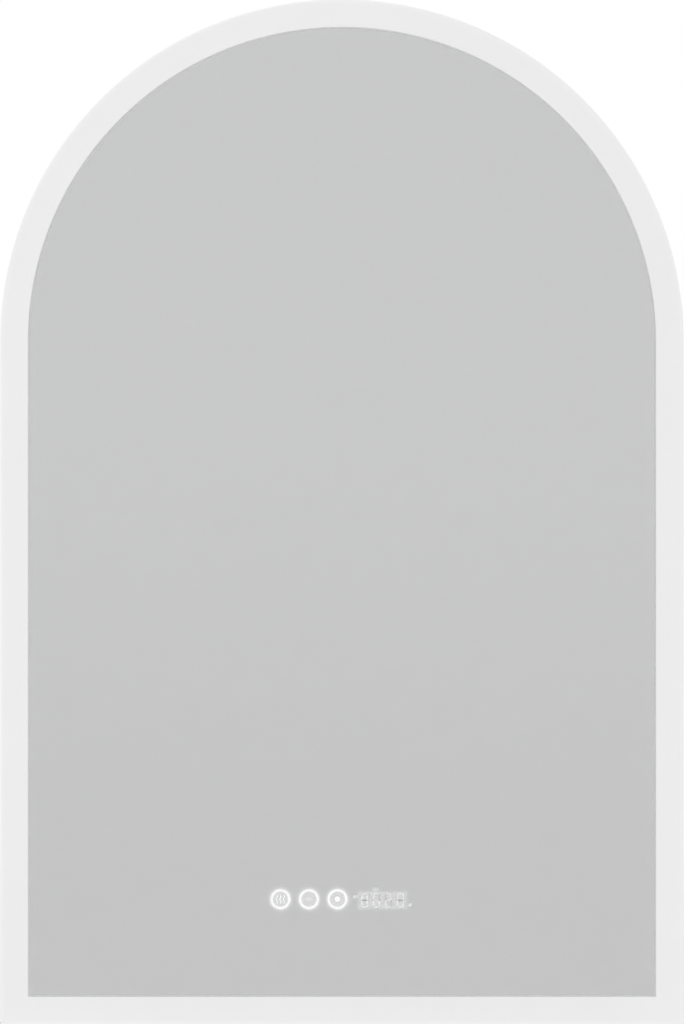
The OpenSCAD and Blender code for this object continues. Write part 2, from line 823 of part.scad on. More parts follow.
// What a round outer front edge leaves over
module edge_waste() {
    difference() {
        polygon([at(-over, -over), at(edge_r, -over), at(edge_r, edge_r), at(-over, edge_r)]);
        translate(at(edge_r, edge_r)) circle(edge_r);
    }
}

module border_profile() {
    groove_s = channel_inset - groove_c;
    groove_end = channel_inset + wall_t + groove_c;
    difference() {
        polygon([
            at(0, 0), at(border_w - border_arris, 0), at(border_w, border_arris), at(border_w, d_ledge),
            at(s_inner, d_ledge), at(s_inner, border_t), at(groove_end, border_t), at(groove_end, d_groove),
            at(groove_s, d_groove), at(groove_s, border_t), at(0, border_t)
        ]);
        edge_waste();
    }
}

// One rounded bottom corner, outside the groove
module border_corner() {
    sweep_frame() translate([half_w - corner_r, z_bottom + corner_r, 0]) rotate([0, 0, -90])
        rotate_extrude(angle = 90) intersection() {
            translate([corner_r, 0]) difference() {
                polygon([at(0, 0), at(corner_r, 0), at(corner_r, border_t), at(0, border_t)]);
                edge_waste();
            }
            translate([0, -border_t]) square([corner_r, border_t]);
        }
}

module light_border() {
    color("white") {
        difference() {
            union() {
                swept_arch() border_profile();
                swept_bottom() border_profile();
            }
            for (side = [0, 1]) mirror([side, 0, 0]) slab(-over, border_t + over)
                translate([half_w - corner_r, z_bottom - over]) square([corner_r + over, corner_r + over]);
        }
        for (side = [0, 1]) mirror([side, 0, 0]) border_corner();
    }
}

module border_tape() {
    color("gainsboro") slab(border_t, d_flange)
        arch_ring(s_inner - flange_w + tape_setback, s_inner - tape_setback);
}

module mirror_glass() {
    color("lightcyan") difference() {
        slab(0, glass_t) arch(s_glass);
        arris_cut(s_glass, glass_arris);
    }
}

module glass_tape() {
    color("dimgray") slab(d_film_back, d_ledge)
        arch_ring(s_inner - tape_setback - glass_tape_w, s_inner - tape_setback);
}

// Windows left in the silver: touch rings with their symbols, and the display's segments

// Three upright wavy lines
module steam_symbol() {
    steps = 12;
    wave_h = ring_r * 0.95;
    sway = ring_r * 0.06;
    stroke = ring_r * 0.1;
    line = [for (i = [0:steps]) [sway * sin(540 * i / steps), (i / steps - 0.5) * wave_h]];
    for (k = [-1:1]) translate([k * ring_r * 0.37, 0]) polygon(concat(
        [for (p = line) p + [stroke / 2, 0]],
        [for (i = [steps:-1:0]) line[i] - [stroke / 2, 0]]
    ));
}

module dimmer_symbol() {
    rotate(90) stadium(ring_r * 0.95, ring_r * 0.36);
}

// A disc with short rays
module lamp_symbol() {
    ray_w = ring_r * 0.07;
    circle(ring_r * 0.29);
    for (a = [0:45:315]) rotate(a) translate([ring_r * 0.46, -ray_w / 2]) square([ring_r * 0.14, ray_w]);
}

module button_windows() {
    for (x = button_xs) translate([x, z_button]) difference() {
        circle(ring_r);
        circle(ring_r - ring_stroke);
    }
    translate([button_xs[0], z_button]) steam_symbol();
    translate([button_xs[1], z_button]) dimmer_symbol();
    translate([button_xs[2], z_button]) lamp_symbol();
}

module segment(l) {
    w = segment_w / 2;
    polygon([[-l / 2, 0], [w - l / 2, w], [l / 2 - w, w], [l / 2, 0], [l / 2 - w, -w], [w - l / 2, -w]]);
}

// Those of a digit's segments a to g that match the wanted state
module digit(value, lit) {
    w = digit_w - segment_w;
    h = (digit_h - segment_w) / 2;
    places = [[0, h, 0], [w / 2, h / 2, 90], [w / 2, -h / 2, 90], [0, -h, 0],
              [-w / 2, -h / 2, 90], [-w / 2, h / 2, 90], [0, 0, 0]];
    for (i = [0:6]) if (segment_on[value][i] == lit) translate([places[i].x, places[i].y])
        rotate(places[i].z) segment((places[i].z == 0 ? w : h) - segment_break);
}

module digit_row(lit) {
    for (i = [0:3]) translate([display_x + (i - 1.5) * digit_pitch, z_display]) digit(digits[i], lit);
}

// Small markers round the digits: a dash, a block above them and a point
module display_marks() {
    translate([display_x, z_display]) {
        translate([digit_pitch * 0.24 - display_w / 2, digit_h * 0.23])
            square([digit_pitch * 0.4, digit_h * 0.19], center = true);
        translate([-0.59 * digit_pitch, digit_h * 0.69])
            square([digit_pitch * 0.54, digit_h * 0.26], center = true);
        translate([display_w / 2 - digit_pitch * 0.2, -digit_h * 0.31])
            square([digit_pitch * 0.32, digit_h * 0.2], center = true);
    }
}

module silver_coat() {
    color("lightgray") slab(d_silver, d_film) difference() {
        arch(s_silver);
        button_windows();
        digit_row(1);
        digit_row(0);
        display_marks();
    }
}

module safety_film() {
    color("aliceblue") slab(d_film, d_film_back) difference() {
        arch(s_silver);
        for (x = button_xs) translate([x, z_button]) circle(deck_hole_r);
        translate([display_x, z_display])
            square([display_w + 2 * display_c, display_h + 2 * display_c], center = true);
    }
}

// Demister

module demister_pad() {
    color("tan") slab(d_film_back, d_track) translate([0, pad_z]) rounded(pad_w, pad_h, pad_corner_r);
}

// One folded foil track, whose two ends come back along the foot to the joint
module demister_track() {
    runs = 2 * floor((pad_w - 2 * pad_margin) / track_pitch / 2);
    reach = (runs - 1) / 2 * track_pitch;
    top = pad_h / 2 - pad_margin;
    foot = -pad_h / 2 + 2 * pad_margin;
    tail = joint_z - pad_z - track_w / 2;
    color("peru") slab(d_track, d_joint) translate([0, pad_z]) {
        for (i = [0:runs - 1]) translate([i * track_pitch - reach - track_w / 2, 0]) {
            translate([0, foot]) square([track_w, top - foot]);
            if (i % 2 == 0) translate([0, top - track_w]) square([track_pitch + track_w, track_w]);
            if (i % 2 == 1 && i < runs - 1) translate([0, foot]) square([track_pitch + track_w, track_w]);
        }
        for (side = [0, 1]) mirror([side, 0]) {
            translate([reach - track_w / 2, tail]) square([track_w, foot - tail]);
            translate([track_w, tail]) square([reach - track_w / 2, track_w]);
        }
    }
}

module demister_joint() {
    color("black") slab(d_joint, d_joint + joint_h)
        translate([0, joint_z]) rounded(joint_size.x, joint_size.y, 1.5);
}

// Light strip

module led_strip() {
    color("ivory") slab(d_led, d_led + strip_w) difference() {
        arch_ring(s_strip, s_led_wall);
        translate([-led_pitch / 4, z_bottom]) square([led_pitch / 2, s_inner]);
    }
}

chip_size = [0.8, 2.8];

// Each chip sits flat against the strip
module led_chips() {
    reach = half_w - s_strip;
    crown_n = floor(PI * reach / led_pitch);
    side_l = arch_z - z_bottom - s_strip;
    side_n = floor(side_l / led_pitch);
    foot_n = 2 * floor(reach / led_pitch);
    color("gold") slab(d_led_mid - chip_size.y / 2, d_led_mid + chip_size.y / 2) {
        for (i = [0:crown_n - 1]) translate([0, arch_z]) rotate((i + 0.5) * 180 / crown_n)
            translate([reach, -chip_size.y / 2]) square(chip_size);
        for (i = [0:side_n - 1], side = [0, 1]) mirror([side, 0])
            translate([reach, z_bottom + s_strip + (i + 0.5) * side_l / side_n - chip_size.y / 2])
            square(chip_size);
        for (i = [0:foot_n - 1]) translate([(i + 0.5 - foot_n / 2) * led_pitch, z_bottom + s_strip])
            translate([-chip_size.y / 2, -chip_size.x]) square([chip_size.y, chip_size.x]);
    }
}

// Driver

module driver_case() {
    pitch = driver_w / 9;
    color("lightgray") translate([-driver_l / 2, d_driver + driver_h / 2 - body_d, z_driver])
        rotate([90, 0, 90]) linear_extrude(driver_l) difference() {
            rounded(driver_h, driver_w, driver_r);
            for (i = [-3:3]) translate([-driver_h / 2, i * pitch])
                square([2 * driver_groove, driver_groove], center = true);
        }
}

module driver_end_caps() {
    color("dimgray") for (side = [0, 1]) mirror([side, 0, 0]) difference() {
        translate([driver_l / 2, d_driver - body_d, z_driver - driver_w / 2]) {
            cube([cap_t, driver_h, driver_w]);
            translate([0, driver_h - ear_t, (driver_w - ear_w) / 2]) cube([cap_t + ear_l, ear_t, ear_w]);
        }
        towards_wall(driver_bolt_x, z_driver, d_panel - ear_t - over)
            cylinder(h = ear_t + 2 * over, r = driver_bolt_r + screw_c);
    }
}

module driver_bolts() {
    color("silver") for (side = [-1, 1]) {
        screw(side * driver_bolt_x, z_driver, d_panel_back, panel_t + ear_t + nut_t + 1,
              driver_bolt_r, 3, 2);
        towards_wall(side * driver_bolt_x, z_driver, d_panel - ear_t - nut_t)
            cylinder(h = nut_t, r = nut_r, $fn = 6);
    }
}

// Control housing, board and display

module at_boss() {
    for (x = boss_xs, z = boss_zs) translate([x, z_button + z]) children();
}

module control_housing() {
    color("dimgray") difference() {
        union() {
            slab(d_deck, d_cover) translate([0, z_button]) difference() {
                rounded(housing_w, housing_h, housing_r);
                rounded(housing_w - 2 * housing_wall, housing_h - 2 * housing_wall,
                        housing_r - housing_wall);
            }
            slab(d_deck, d_well) translate([0, z_button]) rounded(housing_w, housing_h, housing_r);
            slab(d_deck, d_board) for (x = button_xs) translate([x, z_button]) circle(well_r + well_wall);
            slab(d_deck, d_cover) at_boss() circle(boss_r);
        }
        slab(d_deck - over, d_board + over) for (x = button_xs) translate([x, z_button]) circle(deck_hole_r);
        slab(d_well, d_board + over) for (x = button_xs) translate([x, z_button]) circle(well_r);
        slab(d_deck - over, d_board + over) {
            translate([display_x, z_display])
                square([display_w + 2 * display_c, display_h + 2 * display_c], center = true);
            for (x = button_xs) translate([x, z_button + pin_reach]) circle(pin_r + 0.3);
        }
        slab(d_cover + cover_t - cover_screw_l, d_cover + over) at_boss() circle(cover_screw_r + screw_c);
        for (z = plug_zs) translate([-housing_w / 2 - over, d_plug - body_d, z_button + z])
            rotate([0, 90, 0])
            cylinder(h = housing_wall + 2 * over, r = wire_hole_r);
    }
}

module control_cover() {
    color("black") slab(d_cover, d_cover + cover_t) difference() {
        translate([0, z_button]) rounded(housing_w, housing_h, housing_r);
        at_boss() circle(cover_screw_r + screw_c);
    }
}

module cover_screws() {
    color("silver") for (x = boss_xs, z = boss_zs)
        screw(x, z_button + z, d_cover + cover_t, cover_screw_l, cover_screw_r, 2.4, 1.6);
}

module control_board() {
    edge = 2 * housing_wall + 0.6;
    color("seagreen") slab(d_board, d_board_back) difference() {
        translate([0, z_button]) rounded(housing_w - edge, housing_h - edge, 2);
        at_boss() square(2 * boss_r + 0.6, center = true);
    }
}

module board_parts() {
    color("darkslategray") translate([0, 0, z_button]) {
        slab(d_board_back, d_board_back + processor_h) translate([processor_x, part_rise])
            square(processor_w, center = true);
        slab(d_board_back, d_board_back + relay_h) translate([relay_x, part_rise])
            square([relay_w, relay_l], center = true);
        slab(d_board_back, d_board_back + small_part_h)
            for (x = [small_part_x1, small_part_x2, small_part_x3])
            translate([x, -small_part_drop]) square([small_part_w, small_part_l], center = true);
        slab(d_board_back, d_board_back + plug_h) for (z = plug_zs)
            translate([plug_x + plug_size.x / 2, z]) square(plug_size, center = true);
    }
}

module clock_battery() {
    color("silver") towards_wall(battery_x, z_button + part_rise, d_board_back) {
        cylinder(h = holder_h, r = holder_r);
        translate([0, 0, holder_h]) cylinder(h = battery_h, r = battery_r);
    }
}

module housing_tape() {
    color("gray") slab(d_film_back, d_deck) translate([0, z_button]) difference() {
        rounded(housing_w, housing_h, housing_r);
        square([housing_w - 2 * tape_side, housing_h - 2 * tape_side], center = true);
    }
}

module display_body() {
    color("black") slab(d_display, d_board)
        translate([display_x, z_display]) square([display_w, display_h], center = true);
}

module digits_lit() {
    color("white") slab(d_segments, d_display) {
        digit_row(1);
        display_marks();
    }
}

module digits_dark() {
    color("gray") slab(d_segments, d_display) digit_row(0);
}

module touch_diffusers() {
    color("white") for (x = button_xs) towards_wall(x, z_button, d_film) {
        cylinder(h = d_well - d_film, r = diffuser_r);
        translate([0, 0, d_well - d_film]) cylinder(h = diffuser_flange_t, r = diffuser_flange_r);
    }
}

// A foil ring round each diffuser, with a tab under its contact pin
module touch_foils() {
    color("goldenrod") slab(d_film_back, d_film_back + foil_t) for (x = button_xs) translate([x, z_button])
        difference() {
            union() {
                circle(foil_r);
                translate([-foil_tab_w / 2, 0]) square([foil_tab_w, pin_reach + foil_tab_w / 2]);
            }
            circle(deck_hole_r);
        }
}

module touch_pins() {
    color("gold") for (x = button_xs) towards_wall(x, z_button + pin_reach, d_film_back + foil_t)
        cylinder(h = d_board - d_film_back - foil_t, r = pin_r);
}

module ring_leds() {
    color("khaki") slab(d_board - 1.2, d_board) for (x = button_xs, a = [45:90:315])
        translate([x, z_button]) rotate(a) translate([diffuser_r * 0.72, 0])
            square([2.8, 3.2], center = true);
}

// Terminal box, its cover and what it holds

module terminal_box() {
    left = terminal_x - terminal_w / 2;
    color("ivory") difference() {
        union() {
            slab(d_terminal - terminal_wall, d_panel) translate([terminal_x, z_terminal])
                rounded(box_w, box_h, terminal_r + terminal_wall);
            slab(d_panel - box_flange_t, d_panel) translate([terminal_x, z_terminal])
                rounded(box_w + 2 * box_flange, box_h, terminal_r);
        }
        slab(d_terminal, d_panel + over) translate([terminal_x, z_terminal])
            rounded(terminal_w, terminal_h, terminal_r);
        for (x = pole_xs) translate([x, d_wire - body_d, z_terminal - terminal_h / 2 + over])
            rotate([180, 0, 0]) cylinder(h = terminal_wall + 2 * over, r = wire_hole_r);
        slab(d_panel - box_flange_t - over, d_panel + over) for (x = access_xs, z = access_zs)
            translate([x, z]) circle(access_screw_r + screw_c);
    }
}

module access_cover() {
    color("gainsboro") slab(d_panel_back, d_panel_back + panel_t) difference() {
        translate([terminal_x, z_terminal])
            rounded(terminal_w + 2 * access_lap, terminal_h + 2 * access_lap, terminal_r);
        for (x = access_xs, z = access_zs) translate([x, z]) circle(access_screw_r + screw_c);
        translate([grommet_x, grommet_z]) circle(grommet_neck_r + grommet_c);
    }
}

module access_screws() {
    color("silver") for (x = access_xs, z = access_zs)
        screw(x, z, d_panel_back + panel_t, 2 * panel_t + box_flange_t + 0.5, access_screw_r, 2.8, 2);
}

module cable_grommet() {
    color("black") towards_wall(grommet_x, grommet_z, d_panel_back - grommet_flange_t) difference() {
        union() {
            cylinder(h = grommet_flange_t, r = grommet_flange_r);
            cylinder(h = 2 * grommet_flange_t + panel_t, r = grommet_neck_r);
            translate([0, 0, grommet_flange_t + panel_t])
                cylinder(h = grommet_flange_t, r1 = grommet_flange_r, r2 = grommet_flange_r - 1);
        }
        translate([0, 0, -over]) cylinder(h = 2 * grommet_flange_t + panel_t + 2 * over, r = grommet_r);
    }
}

module terminal_block() {
    color("beige") difference() {
        slab(d_terminal, d_terminal + block_h)
            translate([block_x, block_z]) square([block_w, block_l], center = true);
        for (x = pole_xs, side = [-1, 1])
            translate([x, d_wire - body_d, block_z + side * (block_l - pole_bore) / 2])
            cylinder(h = pole_bore + 0.02, r = wire_r + wire_touch, center = true);
        for (x = pole_xs) towards_wall(x, block_z, d_terminal + block_h - pole_screw_h)
            cylinder(h = pole_screw_h + over, r = pole_screw_r + screw_c);
    }
}

module terminal_screws() {
    slot_w = pole_screw_r * 0.3;
    d_head = d_terminal + block_h - pole_screw_h;
    color("gold") for (x = pole_xs) towards_wall(x, block_z, d_head) difference() {
        cylinder(h = pole_screw_h - 0.5, r = pole_screw_r);
        translate([-pole_screw_r, -slot_w / 2, pole_screw_h - 1.5])
            cube([2 * pole_screw_r, slot_w, over + 0.5]);
    }
}

// A bridge that grips the supply cable where it comes in from the grommet
module cable_clamp() {
    color("dimgray") difference() {
        slab(d_terminal, d_terminal + clamp_h)
            translate([clamp_x, clamp_z]) square([clamp_w, clamp_l], center = true);
        translate([clamp_x, d_terminal - body_d, clamp_z]) rotate([0, 90, 0])
            cylinder(h = clamp_w + 2 * over, r = grommet_r, center = true);
        for (z = clamp_screw_zs) towards_wall(clamp_x, z, d_terminal - over)
            cylinder(h = clamp_h + 2 * over, r = clamp_screw_r + screw_c);
    }
}

module clamp_screws() {
    color("silver") for (z = clamp_screw_zs)
        screw(clamp_x, z, d_terminal + clamp_h, clamp_h, clamp_screw_r, 2.6, 1.6);
}

module earth_stud() {
    color("goldenrod") towards_wall(earth_x, earth_z, d_panel - earth_l) cylinder(h = earth_l, r = earth_r);
}

module earth_nut() {
    color("gold") towards_wall(earth_x, earth_z, d_panel - lug_t - earth_nut_t) difference() {
        cylinder(h = earth_nut_t, r = earth_nut_r, $fn = 6);
        translate([0, 0, -over]) cylinder(h = earth_nut_t + 2 * over, r = earth_r + screw_c);
    }
}

// Wires

module live_wire() {
    color("saddlebrown") wire([
        [pole_xs[1], d_wire, z_block_foot], [pole_xs[1], d_wire, z_driver + wire_rise],
        [driver_face, d_wire, z_driver + wire_rise]
    ]);
}

module neutral_wire() {
    color("royalblue") wire([
        [pole_xs[2], d_wire, z_block_foot], [pole_xs[2], d_wire, z_driver - wire_rise],
        [driver_face, d_wire, z_driver - wire_rise]
    ]);
}

module earth_wire() {
    d_end = d_panel - wire_r;
    drop = z_terminal - terminal_h / 2 - terminal_wall;
    color("yellowgreen") wire([
        [pole_xs[0], d_wire, z_block_foot], [pole_xs[0], d_wire, drop - 4], [pole_xs[0], d_end, earth_z + 8],
        [pole_xs[0], d_end, earth_z], [crimp_x, d_end, earth_z]
    ], bend = 4);
}

// A ring lug under the earth nut, crimped on the wire
module earth_lug() {
    color("gainsboro") difference() {
        union() {
            slab(d_panel - lug_t, d_panel) {
                translate([earth_x, earth_z]) circle(lug_r);
                translate([earth_x, earth_z - lug_barrel_r / 2])
                    square([barrel_x - earth_x + 1, lug_barrel_r]);
            }
            translate([barrel_x, d_panel - lug_barrel_r - body_d, earth_z]) rotate([0, 90, 0])
                cylinder(h = lug_barrel_l, r = lug_barrel_r);
        }
        slab(d_panel - lug_t - over, d_panel + over) translate([earth_x, earth_z]) circle(earth_r + screw_c);
        translate([crimp_x, d_panel - wire_r - body_d, earth_z]) rotate([0, 90, 0])
            cylinder(h = lug_bite + over, r = wire_r + wire_touch / 2);
    }
}

module led_lead() {
    z = z_driver + wire_rise;
    end_x = -half_w + s_led_wall;
    color("white") wire([
        [-driver_face, d_run, z], [led_turn_x, d_run, z], [end_x + 10, d_led_mid, z], [end_x, d_led_mid, z]
    ]);
}

module control_lead() {
    z = z_driver - wire_rise;
    z_end = z_button + plug_zs[1];
    color("white") wire([
        [-driver_face, d_run, z], [control_x, d_run, z], [control_x, d_run, z_end + plug_fall],
        [control_x, d_plug, z_end + plug_turn], [control_x, d_plug, z_end], [plug_x, d_plug, z_end]
    ]);
}

module demister_lead() {
    z_end = z_button + plug_zs[0];
    color("black") wire([
        [-joint_size.x / 2, d_glass_run, joint_z], [demister_x, d_glass_run, joint_z],
        [demister_x, d_glass_run, z_end + plug_fall], [demister_x, d_plug, z_end + plug_turn],
        [demister_x, d_plug, z_end], [plug_x, d_plug, z_end]
    ]);
}

// One clip round a wire that runs along X or, turned, along Z
module wire_clip(x, z, d0, d1, d, upright = false) {
    size = upright ? [clip_w, clip_l] : [clip_l, clip_w];
    difference() {
        slab(d0, d1) translate([x, z]) square(size, center = true);
        translate([x, d - body_d, z]) rotate([0, upright ? 0 : 90, 0])
            cylinder(h = clip_l + 2 * over, r = wire_r + wire_touch, center = true);
    }
}

module wire_clips() {
    top = d_run - wire_r - clip_cover;
    run = z_driver - z_button;
    glass_run_top = joint_z - plug_turn;
    glass_run_l = joint_z - z_button - 2 * plug_fall;
    color("white") {
        for (x = led_clip_xs) wire_clip(x, z_driver + wire_rise, top, d_panel, d_run);
        wire_clip(control_x, z_button + run * 0.62, top, d_panel, d_run, upright = true);
        for (share = [0.1, 0.45, 0.8])
            wire_clip(demister_x, glass_run_top - share * glass_run_l, d_film_back,
                      d_glass_run + wire_r + clip_cover, d_glass_run, upright = true);
    }
}

wall_rail();
hanger_rail();
hanger_backing();
hanger_rivets();
rear_panel();
panel_gasket();
panel_screws();
frame_arch();
frame_bottom();
corner_keys();
corner_screws();
wall_bumpers();
light_border();
border_tape();
mirror_glass();
silver_coat();
safety_film();
glass_tape();
demister_pad();
demister_track();
demister_joint();
led_strip();
led_chips();
driver_case();
driver_end_caps();
driver_bolts();
control_housing();
control_cover();
cover_screws();
control_board();
board_parts();
clock_battery();
housing_tape();
display_body();
digits_lit();
digits_dark();
touch_diffusers();
touch_foils();
touch_pins();
ring_leds();
terminal_box();
access_cover();
access_screws();
cable_grommet();
terminal_block();
terminal_screws();
cable_clamp();
clamp_screws();
earth_stud();
earth_lug();
earth_nut();
live_wire();
neutral_wire();
earth_wire();
led_lead();
control_lead();
demister_lead();
wire_clips();
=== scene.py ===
import json
import math
import bpy
import bmesh
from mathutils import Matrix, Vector

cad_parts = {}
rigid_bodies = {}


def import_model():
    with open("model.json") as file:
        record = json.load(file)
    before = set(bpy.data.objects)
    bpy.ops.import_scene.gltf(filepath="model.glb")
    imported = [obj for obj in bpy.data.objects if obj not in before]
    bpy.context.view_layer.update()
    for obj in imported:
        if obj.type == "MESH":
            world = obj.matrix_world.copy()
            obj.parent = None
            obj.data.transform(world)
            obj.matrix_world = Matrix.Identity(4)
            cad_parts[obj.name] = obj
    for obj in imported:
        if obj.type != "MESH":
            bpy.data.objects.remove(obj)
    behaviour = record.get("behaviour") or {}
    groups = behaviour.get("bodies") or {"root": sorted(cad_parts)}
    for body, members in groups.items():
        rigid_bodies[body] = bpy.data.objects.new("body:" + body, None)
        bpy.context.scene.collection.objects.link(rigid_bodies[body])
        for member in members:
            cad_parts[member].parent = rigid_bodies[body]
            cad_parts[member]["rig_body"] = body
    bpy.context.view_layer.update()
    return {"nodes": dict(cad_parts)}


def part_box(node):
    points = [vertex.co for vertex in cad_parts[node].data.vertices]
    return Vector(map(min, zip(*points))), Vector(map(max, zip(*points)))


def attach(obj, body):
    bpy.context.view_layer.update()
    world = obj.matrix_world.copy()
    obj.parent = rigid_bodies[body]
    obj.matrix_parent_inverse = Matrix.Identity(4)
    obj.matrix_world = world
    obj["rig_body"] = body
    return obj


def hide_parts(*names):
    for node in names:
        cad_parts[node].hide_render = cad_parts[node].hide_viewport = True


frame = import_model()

nodes = frame["nodes"]
mirrorBody = "mirror"
print("frame loaded:", len(nodes), "nodes")

# places that the frame gives, in metres
borderLow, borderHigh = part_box("light_border")
glassLow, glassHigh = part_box("mirror_glass")
barLow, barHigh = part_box("frame_bottom")
halfWidth = borderHigh.x
crownZ = borderHigh.z
bottomZ = borderLow.z
archZ = crownZ - halfWidth
frontY = borderLow.y
glassInset = halfWidth - glassHigh.x
touchLow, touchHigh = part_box("touch_diffusers")
touchZ = (touchLow.z + touchHigh.z) / 2
touchEdge = (touchHigh.z - touchLow.z) / 2
touchPitch = (touchHigh.x - touchLow.x - 2 * touchEdge) / 2
touchXs = [touchLow.x + touchEdge + i * touchPitch for i in range(3)]
displayLow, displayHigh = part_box("display_body")
displayX = (displayLow.x + displayHigh.x) / 2
displayZ = (displayLow.z + displayHigh.z) / 2

white = (1.0, 1.0, 1.0)
black = (0.0, 0.0, 0.0)


class Field:  # one socket of a node tree; Python operators on it add Math nodes
    def __init__(self, tree, socket=None):
        self.tree = tree
        self.socket = socket

    def feed(self, port, value):
        if isinstance(value, Field):
            self.tree.links.new(value.socket, port)
        elif hasattr(port.default_value, "__len__") and len(port.default_value) == 4 and len(value) == 3:
            port.default_value = (*value, 1.0)
        else:
            port.default_value = value

    def node(self, kind, settings=None, inputs=None, output=0):  # settings first, then the sockets
        made = self.tree.nodes.new(kind)
        for name, value in (settings or {}).items():
            setattr(made, name, value)
        for name, value in (inputs or {}).items():
            self.feed(made.inputs[name], value)
        return Field(self.tree, made.outputs[output] if made.outputs else None)

    def calc(self, operation, *values):
        return self.node("ShaderNodeMath", {"operation": operation}, dict(enumerate(values)))

    def __add__(self, other): return self.calc("ADD", self, other)
    def __radd__(self, other): return self.calc("ADD", other, self)
    def __sub__(self, other): return self.calc("SUBTRACT", self, other)
    def __rsub__(self, other): return self.calc("SUBTRACT", other, self)
    def __mul__(self, other): return self.calc("MULTIPLY", self, other)
    def __rmul__(self, other): return self.calc("MULTIPLY", other, self)
    def __truediv__(self, other): return self.calc("DIVIDE", self, other)
    def __rtruediv__(self, other): return self.calc("DIVIDE", other, self)
    def __pow__(self, other): return self.calc("POWER", self, other)
    def __abs__(self): return self.calc("ABSOLUTE", self)

    def least(self, other): return self.calc("MINIMUM", self, other)
    def most(self, other): return self.calc("MAXIMUM", self, other)
    def sine(self): return self.calc("SINE", self)
    def fraction(self): return self.calc("FRACT", self)
    def below(self, other): return self.calc("LESS_THAN", self, other)
    def falloff(self, reach): return self.calc("EXPONENT", self * (-1.0 / reach))
    def clipped(self): return self.least(1.0).most(0.0)
    def blended(self, other, share): return self * share + other * (1.0 - share)
    def around(self, middle, spread): return middle + (self - 0.5) * spread  # noise as a small change

    def between(self, low, high):  # 0 at low and 1 at high, smooth in between
        return self.node("ShaderNodeMapRange", {"interpolation_type": "SMOOTHSTEP"},
                         {"Value": self, "From Min": low, "From Max": high})

    def stretched(self):  # noise stays near 0.5, so its middle is spread over 0 to 1
        return self.between(0.3, 0.7)

    def mixed(self, first, second):  # this value picks between two colours
        return self.node("ShaderNodeMix", {"data_type": "RGBA"}, {0: self, 6: first, 7: second}, output=2)

    def shades(self, colour, dark, light):  # this value picks a shade of one colour
        return self.mixed(tinted(colour, dark), tinted(colour, light))


def tinted(colour, share):
    return tuple(min(1.0, part * share) for part in colour)


# the camera looks straight at the front, as in the photograph, and crops a little of the crown and the foot
cameraLook = {
    "lens": 200.0,
    "sensor": 36.0,
    "pictureWidth": 684,
    "pictureHeight": 1024,
    "crownCrop": 0.0009,
    "farthest": 100.0,
}


def makeCamera():
    height = 2 * halfWidth * cameraLook["pictureHeight"] / cameraLook["pictureWidth"]
    camera = bpy.data.objects.new("camera", bpy.data.cameras.new("camera"))
    camera.data.sensor_width = cameraLook["sensor"]
    camera.data.lens = cameraLook["lens"]
    camera.data.clip_end = cameraLook["farthest"]
    camera.location = (0.0, frontY - height * cameraLook["lens"] / cameraLook["sensor"],
                       crownZ - cameraLook["crownCrop"] - height / 2)
    camera.rotation_euler = (math.pi / 2, 0.0, 0.0)
    bpy.context.scene.collection.objects.link(camera)
    bpy.context.scene.camera = camera


# rays that come from the camera, and rays that gloss and glass send on
def viewRays(start):
    return [start.node("ShaderNodeLightPath", output=name)
            for name in ("Is Camera Ray", "Is Glossy Ray", "Is Transmission Ray")]


ambient = 0.60  # the world's light on the object; what is seen of the world is white


def makeWorld():
    world = bpy.data.worlds.new("studio")
    world.use_nodes = True
    world.node_tree.nodes.clear()
    start = Field(world.node_tree)
    seen, mirrored, through = viewRays(start)
    soft = start.node("ShaderNodeBackground", inputs={"Color": white, "Strength": ambient})
    bright = start.node("ShaderNodeBackground", inputs={"Color": white, "Strength": 1.0})
    shown = (seen + mirrored + through).clipped()
    both = start.node("ShaderNodeMixShader", inputs={0: shown, 1: soft, 2: bright})
    start.node("ShaderNodeOutputWorld", inputs={"Surface": both})
    bpy.context.scene.world = world


floorLook = {
    "colour": (0.88, 0.88, 0.88),
    "size": 30.0,
    "gap": 0.0006,
    "fadeNear": 1.2,
    "fadeFar": 3.2,
}


def makeFloor():
    shape = bmesh.new()
    bmesh.ops.create_grid(shape, x_segments=1, y_segments=1, size=floorLook["size"])
    bmesh.ops.translate(shape, verts=shape.verts, vec=(0.0, 0.0, bottomZ - floorLook["gap"]))
    mesh = bpy.data.meshes.new("floor")
    shape.to_mesh(mesh)
    shape.free()
    floor = bpy.data.objects.new("floor", mesh)
    bpy.context.scene.collection.objects.link(floor)
    material = bpy.data.materials.new("paleFloor")
    material.use_nodes = True
    material.node_tree.nodes.clear()
    start = Field(material.node_tree)
    seen, mirrored, through = viewRays(start)
    matt = start.node("ShaderNodeBsdfDiffuse", inputs={"Color": floorLook["colour"]})
    bright = start.node("ShaderNodeEmission", inputs={"Color": white, "Strength": 1.0})
    place = start.node("ShaderNodeTexCoord", output="Object")
    flat = start.node("ShaderNodeVectorMath", {"operation": "MULTIPLY"}, {0: place, 1: (1.0, 1.0, 0.0)})
    away = start.node("ShaderNodeVectorMath", {"operation": "LENGTH"}, {0: flat}, output="Value")
    far = away.between(floorLook["fadeNear"], floorLook["fadeFar"])  # it fades into the white background
    shown = (seen * far + mirrored + through).clipped()
    both = start.node("ShaderNodeMixShader", inputs={0: shown, 1: matt, 2: bright})
    start.node("ShaderNodeOutputMaterial", inputs={"Surface": both})
    mesh.materials.append(material)


lampLooks = {  # a lamp with gloss is mirrored by metal and glass
    "keyLamp": {"place": (-1.0, -3.4, -0.1), "size": 1.8, "power": 40.0, "gloss": False},
    "topLamp": {"place": (0.3, -0.4, 2.3), "size": 2.2, "power": 12.0, "gloss": True},
    "rearLamp": {"place": (1.6, 2.6, 1.2), "size": 3.6, "power": 34.0, "gloss": True},
}


